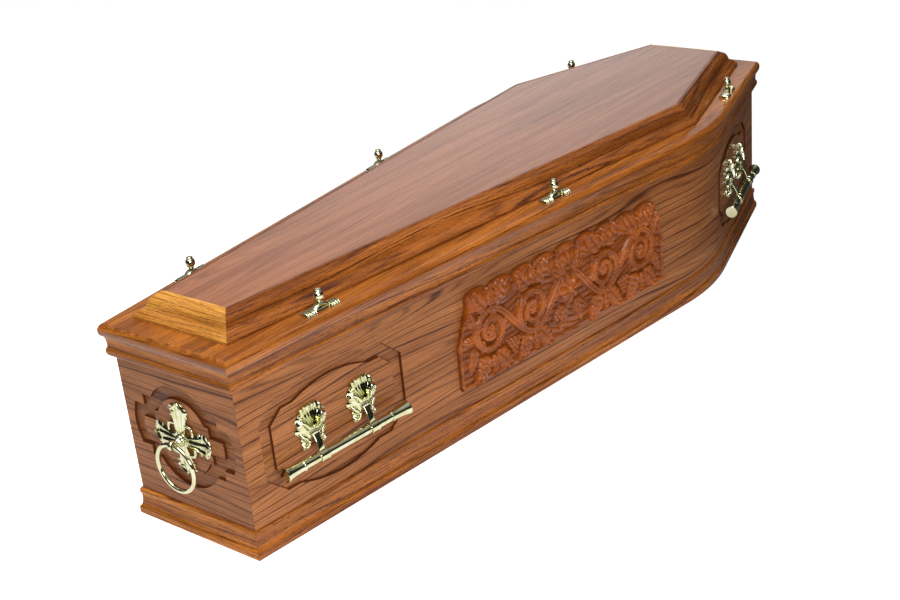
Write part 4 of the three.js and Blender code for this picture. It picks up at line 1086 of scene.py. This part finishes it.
def leaf_plate():
    """Cast leaf: a fan of sharp ribs above, and below it a scroll and a curl down each edge."""
    middle = (0.0, 5 * MM)
    at = np.radians([a for a, _ in LEAF_REACH])
    reach_mm = np.array([r for _, r in LEAF_REACH], float)

    def ribs(angles):
        return 1 - np.abs(np.sin(math.pi * angles / RIB_TURN))

    def reach(angles):
        turned = np.abs((angles + math.pi) % (2 * math.pi) - math.pi)
        base = np.interp(turned, at, reach_mm) * MM * (1 + 0.12 * np.abs(np.sin(angles)))
        return np.where(turned < FAN_TURN, base * (0.94 + 0.07 * ribs(turned * 1.1)), base)

    def height(x, y, share, angles):
        turned = np.abs(np.arctan2(x, y))
        far = np.hypot(x, y)
        fan = (1 - smoothstep(FAN_TURN, FAN_TURN * 1.12, turned)) * smoothstep(6 * MM, 16 * MM, far)
        shell = (2.6 + 9 * (1 - share ** 2)) * MM
        h = shell + fan * (5.6 * ribs(turned) - 1.2 + 3.5 * smoothstep(0.72, 1.0, share)) * MM
        for side in (-1, 1):
            for line, half_width, rise in LEAF_SCROLLS:
                path = [(-side * px * MM, py * MM) for px, py in line]
                h = h + (1 - fan) * ridge(x, y, path, lambda a: half_width * MM, lambda a: rise * MM)
        slot = (np.abs(x) < 7.2 * MM) & (y < 5.8 * MM)
        return np.where(slot, np.minimum(h, 4.4 * MM), h)

    plate_part = polar_plate(260, 36, reach, height, middle)
    eye_half = ARM_WIDTH / 2 + 0.6 * MM
    cheeks = []
    for x in (-eye_half - 3 * MM, eye_half):
        side = [(a, PIVOT_OUT - 1.5 * MM + b) for a, b in oval(5.5 * MM, 7 * MM, 24)]
        cheeks.append(skin([[(px, a, b) for a, b in side] for px in (x, x + 3 * MM)]))
    pin = skin([[(px, a, PIVOT_OUT + b) for a, b in oval(2.4 * MM, 2.4 * MM, 16)]
                for px in (-eye_half - 3.6 * MM, eye_half + 3.6 * MM)])
    button = [(2.8 * MM * math.cos(a), 2.8 * MM * math.sin(a)) for a in np.radians(range(0, 90, 15))]
    knob = moved(lathe([(2.8 * MM, -6 * MM), *button], 20), Matrix.Translation((0, 11.4 * MM, 13.0 * MM)))
    return merged([plate_part, *cheeks, pin, knob])


def rounded_box_section(half_width, half_height, easing):
    """A rectangle's points with eased corners."""
    points = []
    for sx, sy, first in ((1, 1, 0), (-1, 1, 90), (-1, -1, 180), (1, -1, 270)):
        for step in (0, 45, 90):
            a = math.radians(first + step)
            points.append((sx * (half_width - easing) + easing * math.cos(a),
                           sy * (half_height - easing) + easing * math.sin(a)))
    return points


def swinging_arm(bar_radius):
    """Bowed strap from the plate's pin to a collar round the bar."""
    steps = 10
    start, stop = Vector((0, 0, PIVOT_OUT)), Vector((0, -BAR_DROP, BAR_OUT))
    side = Vector((1, 0, 0)).cross(stop - start).normalized()
    line = []
    for i in range(steps + 1):
        t = i / steps
        line.append(start.lerp(stop, t) - side * 3 * MM * math.sin(math.pi * t))

    def section(t):
        flare = 2.6 * MM * max(0.0, (t - 0.62) / 0.38) ** 2
        return rounded_box_section(2.4 * MM, ARM_WIDTH / 2 + flare, 1.1 * MM)

    strap = tube(line, section, up=(1, 0, 0))
    quarter = Matrix.Rotation(math.pi / 2, 4, "Y")
    eye_profile = [(4.2, -6.5), (5, -5.7), (5, 5.7), (4.2, 6.5)]
    eye = lathe([(r * MM, z * MM) for r, z in eye_profile], 24)
    eye = moved(eye, Matrix.Translation((0, 0, PIVOT_OUT)) @ quarter)
    inner, outer = bar_radius + FIT_GAP, bar_radius + 2.8 * MM
    rim = [(outer - 0.9 * MM, 6.8 * MM), (outer, 7.6 * MM), (outer, 9.2 * MM), (outer - 0.8 * MM, 10 * MM),
           (inner, 10 * MM)]
    collar_profile = [(r, -z) for r, z in reversed(rim)] + rim
    collar = moved(turned_ring(collar_profile, 40), Matrix.Translation((0, -BAR_DROP, BAR_OUT)) @ quarter)
    return merged([strap, eye, collar])


def bar(sizes):
    """Round bar with flared, flat-ended caps."""
    half, radius = sizes.bar_length / 2, sizes.bar_radius
    cap = [(0, 9.6), (0.4, 10.8), (1.2, 11.4), (3.4, 11.4), (4.4, 10.7), (6, 10.5), (14, 10.6), (22, 11.1),
           (30, 11.9), (37, 13.0), (42, 14.3), (44.2, 14.8), (45.4, 14.6), (46, 13.9)]
    start = half - cap[-1][0] * MM
    right = [(radius, 0.0), (radius, start)] + [(r * MM, start + x * MM) for x, r in cap]
    profile = [(r, -z) for r, z in reversed(right[1:])] + right
    quarter = Matrix.Rotation(math.pi / 2, 4, "Y")
    return moved(lathe(profile, 40), Matrix.Translation((0, -BAR_DROP, BAR_OUT)) @ quarter)


class COFFIN_OT_bar_handles(bpy.types.Operator):
    """Four bar handles, each with two leaf plates, two arms and a bar"""
    bl_idname = "coffin.bar_handles"
    bl_label = "Bar handles"

    def execute(self, context):
        plan, fittings = Plan(context.scene.coffin_body), context.scene.coffin_fittings
        leaf, arm, rod = leaf_plate(), swinging_arm(fittings.bar_radius), bar(fittings)
        spots = (("foot", plan.foot, plan.long_run, plan.long_out, fittings.handle_from_foot),
                 ("head", plan.shoulder, plan.head_run, plan.head_out, fittings.handle_from_shoulder))
        for end, corner, run, out, distance in spots:
            for name, side in SIDES:
                face = plan.place(corner, run, out, distance, fittings.handle_height, side)
                body = f"{end}_{name}_handle"
                for i, x in enumerate((-fittings.plate_spacing / 2, fittings.plate_spacing / 2), 1):
                    spot = face @ Matrix.Translation((x, 0, 0))
                    tag = f"{end}_{name}_{i}"
                    cast(f"brass_leaf_{tag}", leaf, spot, f"leaf_plate_{tag}")
                    cast(f"brass_arm_{tag}", arm, spot, f"arm_{tag}", body, 40)
                cast(f"brass_bar_{end}_{name}", rod, face, f"bar_{end}_{name}", body, 30)
        return {"FINISHED"}


# Ring handles
LUG_OUT = 30 * MM
# An arm's outline, as (millimetres from the middle, half width), and which of its points aren't barbs
CROSS_HALF_WIDTH = [
    (8, 10), (14, 11), (22, 13), (28, 15), (30.5, 19), (32, 15), (40, 17.5), (45, 19.5), (47.5, 25),
    (49.5, 20), (55, 22), (60, 27), (63, 22.5), (67, 22), (69.5, 16), (72, 11), (74, 7), (76, 0.6),
]
CROSS_WITHOUT_BARBS = [0, 6, 10, 11, 17]


def cross_arm():
    """One leafy arm of the ring's plate: barbed edges and three sharp ridges parted by two grooves."""
    along = np.array([y for y, _ in CROSS_HALF_WIDTH], float) * MM
    wide = np.array([w for _, w in CROSS_HALF_WIDTH], float) * MM
    plain = np.interp(along, along[CROSS_WITHOUT_BARBS], wide[CROSS_WITHOUT_BARBS])

    def place(s, t):
        y = along[0] + (along[-1] - along[0]) * t
        barbed, even = np.interp(y, along, wide), np.interp(y, along, plain)
        tip = np.sign(s) * smoothstep(0.8, 1.0, np.abs(s)) * (barbed - even)
        return s * even + tip, y

    def height(x, y, s, t):
        crest = 1 - np.abs(2 * ((1.5 * s + 0.5) % 1.0) - 1)
        arch = 4.5 * (1 - t) ** 1.5
        folds = 3.0 * crest * smoothstep(0.02, 0.25, t)
        return (2.6 + folds + arch) * MM

    return plate(37, 96, place, height)


def ring_plate():
    """Cross of four arms with a square web between each two, a boss and the ring's lug."""
    parts = []
    arm = cross_arm()
    for quarter in range(4):
        turn = Matrix.Rotation(quarter * math.pi / 2, 4, "Z")
        parts.append(moved(arm, turn))
        near, far = 9 * MM, 31 * MM
        line = [(near, far), (0.7 * far, far), (0.93 * far, 0.93 * far), (far, 0.7 * far), (far, near)]
        web = tube([(x, y, 3.4 * MM) for x, y in line], oval(3.2 * MM, 3.2 * MM, 12, 0.7))
        parts.append(moved(web, turn))
    boss_profile = [(15, 0.3), (15, 3), (14, 5.5), (11.5, 8), (12.2, 10), (12, 12), (9.5, 14), (7.8, 17),
                    (6.8, 20.5), (5.5, 21.3)]
    boss = lathe([(r * MM, z * MM) for r, z in boss_profile], 36)
    lug_section = [((7.55 + 1.95 * math.cos(a)) * MM, 4.8 * math.sin(a) * MM)
                   for a in np.linspace(0, 2 * math.pi, 16, endpoint=False)]
    quarter = Matrix.Rotation(math.pi / 2, 4, "Y")
    lug = moved(turned_ring(lug_section, 36), Matrix.Translation((0, 0, LUG_OUT)) @ quarter)
    return merged([*parts, boss, lug])


class COFFIN_OT_ring_handles(bpy.types.Operator):
    """Ring handles at the foot and the head, each a cross-shaped plate and a swinging ring"""
    bl_idname = "coffin.ring_handles"
    bl_label = "Ring handles"

    def execute(self, context):
        plan, fittings = Plan(context.scene.coffin_body), context.scene.coffin_fittings
        cross = ring_plate()
        round_wire = oval(fittings.wire_radius, fittings.wire_radius, 20)
        wire = [(fittings.ring_radius + a, b) for a, b in round_wire]
        hoop = moved(turned_ring(wire, 96), Matrix.Translation((0, -fittings.ring_radius, LUG_OUT)))
        for end, out in (("foot", plan.foot_out), ("head", plan.top_out)):
            middle = np.array((out[0] * plan.half_length, 0.0))
            face = plan.place(middle, plan.long_run, out, 0.0, fittings.ring_height, 1)
            cast(f"brass_cross_{end}", cross, face, f"ring_plate_{end}")
            cast(f"brass_ring_{end}", hoop, face, f"ring_{end}", f"{end}_ring", 80)
        return {"FINISHED"}


# Lid screws
SCREWS_FROM_HEAD = {"foot": 1707 * MM, "middle": 1055 * MM, "head": 270 * MM}


def screw_base():
    """Cast base with three-lobed leafy ends and a bracket of two legs."""
    half_length, leaf_start = 42 * MM, 0.42

    def lobes_at(end):
        return np.abs(np.cos(3.5 * math.pi * (end - leaf_start) / (1 - leaf_start)))

    def place(s, t):
        x = s * half_length
        end = np.abs(s)
        narrow = np.where(end < leaf_start, 8.0, 13.0 * (0.74 + 0.26 * lobes_at(end))) * MM
        narrow = narrow * np.sqrt(np.clip(1 - ((end - 0.86) / 0.16).clip(0, 1) ** 2, 0.03, 1))
        return x, (2 * t - 1) * narrow

    def height(x, y, s, t):
        end = np.abs(s)
        crown = np.sqrt(np.clip(1 - (2 * t - 1) ** 2, 0, 1))
        return (3.4 + 2.6 * crown + np.where(end > leaf_start, 3.0 * lobes_at(end), 0.4) * crown) * MM

    base = plate(91, 15, place, height)
    leg = [(17, 3), (14, 6.4), (10.6, 9.4), (6, 11.6)]
    line = [(-x, z) for x, z in leg] + [(0, 12.3)] + leg[::-1]
    arch = tube([(x * MM, 0, z * MM) for x, z in line],
                lambda t: oval((3.2 + 1.6 * abs(2 * t - 1) ** 2) * MM, 7.4 * MM, 14, 0.8), up=(0, 1, 0))
    neck = lathe([(r * MM, z * MM) for r, z in ((4, 11), (5.6, 12.4), (5.8, 14.0), (4.8, 15.0))], 24)
    return merged([base, arch, neck])


def thumb_screw():
    """Oval knob on a ringed neck, with a small flat top."""
    profile = [(3.2, 15.3), (3.4, 15.8), (5.2, 16.3), (5.4, 17.4), (4.5, 18.4), (6.8, 20), (9.4, 23),
               (10.4, 27), (10.2, 31), (9.0, 34.5), (7.0, 36.6), (5.8, 37.2), (7.0, 38), (7.2, 39.2),
               (6.4, 40.6), (5.0, 41.3)]
    knob = lathe([(r * MM, z * MM) for r, z in profile], 32)
    return moved(knob, Matrix.Diagonal((1, 0.9, 1, 1)))


class COFFIN_OT_lid_screws(bpy.types.Operator):
    """Six lid screws, each a leafy base and a thumbscrew"""
    bl_idname = "coffin.lid_screws"
    bl_label = "Lid screws"

    def execute(self, context):
        body, lid = context.scene.coffin_body, context.scene.coffin_lid
        plan = Plan(body)
        base, thumb = screw_base(), thumb_screw()
        inset = 9 * MM
        for name, side in SIDES:
            for spot, from_head in SCREWS_FROM_HEAD.items():
                x = plan.half_length - from_head
                on_long = x < plan.shoulder[0]
                corner, run, out = ((plan.foot, plan.long_run, plan.long_out) if on_long
                                    else (plan.shoulder, plan.head_run, plan.head_out))
                at = corner + run * (x - corner[0]) / run[0] - out * inset
                turn = Matrix.Rotation(math.atan2(run[1] * side, run[0]), 4, "Z")
                place = Matrix.Translation((at[0], at[1] * side, body.height + lid.thickness)) @ turn
                tag = f"{spot}_{name}"
                cast(f"brass_screw_base_{tag}", base, place, f"screw_base_{tag}")
                cast(f"brass_thumb_screw_{tag}", thumb, place, f"thumb_screw_{tag}")
        return {"FINISHED"}


# Stage
def add_light(name, size, power, at, target):
    """A soft square light that faces a point."""
    light = bpy.data.lights.new(name, "AREA")
    light.shape = "RECTANGLE"
    light.size, light.size_y = size
    light.energy = power
    obj = bpy.data.objects.new(name, light)
    bpy.context.scene.collection.objects.link(obj)
    obj.location = at
    obj.rotation_euler = (Vector(target) - Vector(at)).to_track_quat("-Z", "Y").to_euler()


# The camera looks at the foot and the right side, 3.4 m from the middle of the coffin
CAMERA_AT = Vector((-2.41117, -1.88705, 1.48339))
CAMERA_RIGHT = Vector((0.6106, -0.78684, -0.08971))
CAMERA_DOWN = Vector((-0.37715, -0.18931, -0.9066))
CAMERA_FORWARD = Vector((0.69637, 0.5874, -0.41235))
LENS_MM, SENSOR_MM = 57.666, 36.0


class COFFIN_OT_stage(bpy.types.Operator):
    """Plain pale floor, soft studio light and the camera"""
    bl_idname = "coffin.stage"
    bl_label = "Stage"

    def execute(self, context):
        scene = context.scene
        scene.view_settings.view_transform = "Standard"
        camera = bpy.data.cameras.new("camera")
        camera.lens = LENS_MM
        camera.sensor_width = SENSOR_MM
        eye = bpy.data.objects.new("camera", camera)
        scene.collection.objects.link(eye)
        turn = Matrix((CAMERA_RIGHT, -CAMERA_DOWN, -CAMERA_FORWARD)).transposed().to_4x4()
        eye.matrix_world = Matrix.Translation(CAMERA_AT) @ turn
        scene.camera = eye

        steps, reach = 96, 3.2
        angles = [2 * math.pi * i / steps for i in range(steps)]
        rim = [(reach * math.cos(a), reach * math.sin(a), 0.0) for a in angles]
        mesh = bpy.data.meshes.new("floor")
        mesh.from_pydata(rim, [], [tuple(range(steps))])
        floor = bpy.data.objects.new("floor", mesh)
        scene.collection.objects.link(floor)
        material, tree, shader = new_finish("backlit_white_floor", Roughness=0.9, Specular_IOR_Level=0.0)
        shader.inputs["Emission Color"].default_value = (1.0, 1.0, 1.0, 1.0)
        # White by its own light. What it lights and what mirrors it meets a paler pool at the foot half
        # and a dark floor at the head
        spot = add_node(tree, "ShaderNodeTexCoord", out="Object")
        headward = add_node(tree, "ShaderNodeSeparateXYZ", {0: spot}, out="X")
        pool = add_node(tree, "ShaderNodeMapRange", {0: headward, 1: 0.1, 2: 0.8, 3: 1.0, 4: 0.08})
        pale = linear(scene.coffin_colours.floor)
        black = (0.0, 0.0, 0.0, 1.0)
        paint = add_node(tree, "ShaderNodeMix", {0: pool, 6: black, 7: pale}, COLOURS, out=2)
        tree.links.new(paint, shader.inputs["Base Color"])
        dim = add_node(tree, "ShaderNodeMath", {0: pool, 1: 0.18}, MULTIPLY)
        seen = add_node(tree, "ShaderNodeLightPath", out="Is Camera Ray")
        glow = add_node(tree, "ShaderNodeMapRange", {0: seen, 3: dim, 4: 1.0})
        tree.links.new(glow, shader.inputs["Emission Strength"])
        floor.data.materials.append(material)

        # A white sweep behind, in a dim room with a pale ceiling that the brass and the varnish mirror
        world = bpy.data.worlds.new("studio")
        scene.world = world
        world.use_nodes = True
        tree = world.node_tree
        place = add_node(tree, "ShaderNodeTexCoord", out="Generated")
        rise = add_node(tree, "ShaderNodeSeparateXYZ", {0: place}, out="Z")
        ceiling = add_node(tree, "ShaderNodeValToRGB", {0: rise},
                           stops=[(0.02, 0.02), (0.45, 0.04), (0.85, 0.50)])
        # A pale wall beyond the head end, brightest low down, shows in the varnish of the lid's far half
        headwards = add_node(tree, "ShaderNodeVectorMath", {0: place, 1: (0.76, 0.64, 0.10)},
                             {"operation": "DOT_PRODUCT"}, out="Value")
        wall = add_node(tree, "ShaderNodeValToRGB", {0: headwards}, stops=[(0.92, 0.0), (0.985, 1.0)])
        room = add_node(tree, "ShaderNodeMix", {0: 1.0, 6: ceiling, 7: wall},
                        {"data_type": "RGBA", "blend_type": "ADD"}, out=2)
        seen = add_node(tree, "ShaderNodeLightPath", out="Is Camera Ray")
        white = (1.0, 1.0, 1.0, 1.0)
        tone = add_node(tree, "ShaderNodeMix", {0: seen, 6: room, 7: white}, COLOURS, out=2)
        tree.links.new(tone, tree.nodes["Background"].inputs["Color"])
        add_light("key", (2.0, 2.0), 100, (-1.3, -0.5, 3.4), (0, 0, 0.3))
        add_light("front", (2.4, 1.0), 66, (-2.1, -3.2, 1.7), (-0.3, 0, 0.3))
        return {"FINISHED"}


OPERATORS = (
    COFFIN_OT_stage, COFFIN_OT_boards, COFFIN_OT_mouldings, COFFIN_OT_lid, COFFIN_OT_carving,
    COFFIN_OT_bar_handles, COFFIN_OT_ring_handles, COFFIN_OT_lid_screws,
)
GROUPS = {
    "coffin_body": CoffinBody, "coffin_lid": CoffinLid, "coffin_fittings": CoffinFittings,
    "coffin_carving": CoffinCarving, "coffin_colours": CoffinColours,
}


class COFFIN_PT_panel(bpy.types.Panel):
    """Lists the coffin's pieces and settings"""
    bl_idname = "COFFIN_PT_panel"
    bl_label = "Oak coffin"
    bl_space_type = "VIEW_3D"
    bl_region_type = "UI"
    bl_category = "Coffin"

    def draw(self, context):
        for operator in OPERATORS:
            self.layout.operator(operator.bl_idname)
        for key, group in GROUPS.items():
            box = self.layout.box()
            box.label(text=group.__doc__)
            for name in group.__annotations__:
                box.prop(getattr(context.scene, key), name)


def register():
    for key, group in GROUPS.items():
        bpy.utils.register_class(group)
        setattr(bpy.types.Scene, key, PointerProperty(type=group))
    for cls in (*OPERATORS, COFFIN_PT_panel):
        bpy.utils.register_class(cls)


def unregister():
    for cls in reversed((*OPERATORS, COFFIN_PT_panel)):
        bpy.utils.unregister_class(cls)
    for key, group in reversed(GROUPS.items()):
        delattr(bpy.types.Scene, key)
        bpy.utils.unregister_class(group)


def main():
    register()
    bpy.ops.coffin.stage()
    bpy.ops.coffin.boards()
    bpy.ops.coffin.mouldings()
    bpy.ops.coffin.lid()
    bpy.ops.coffin.carving()
    bpy.ops.coffin.bar_handles()
    bpy.ops.coffin.ring_handles()
    bpy.ops.coffin.lid_screws()


if __name__ == "__main__":
    main()
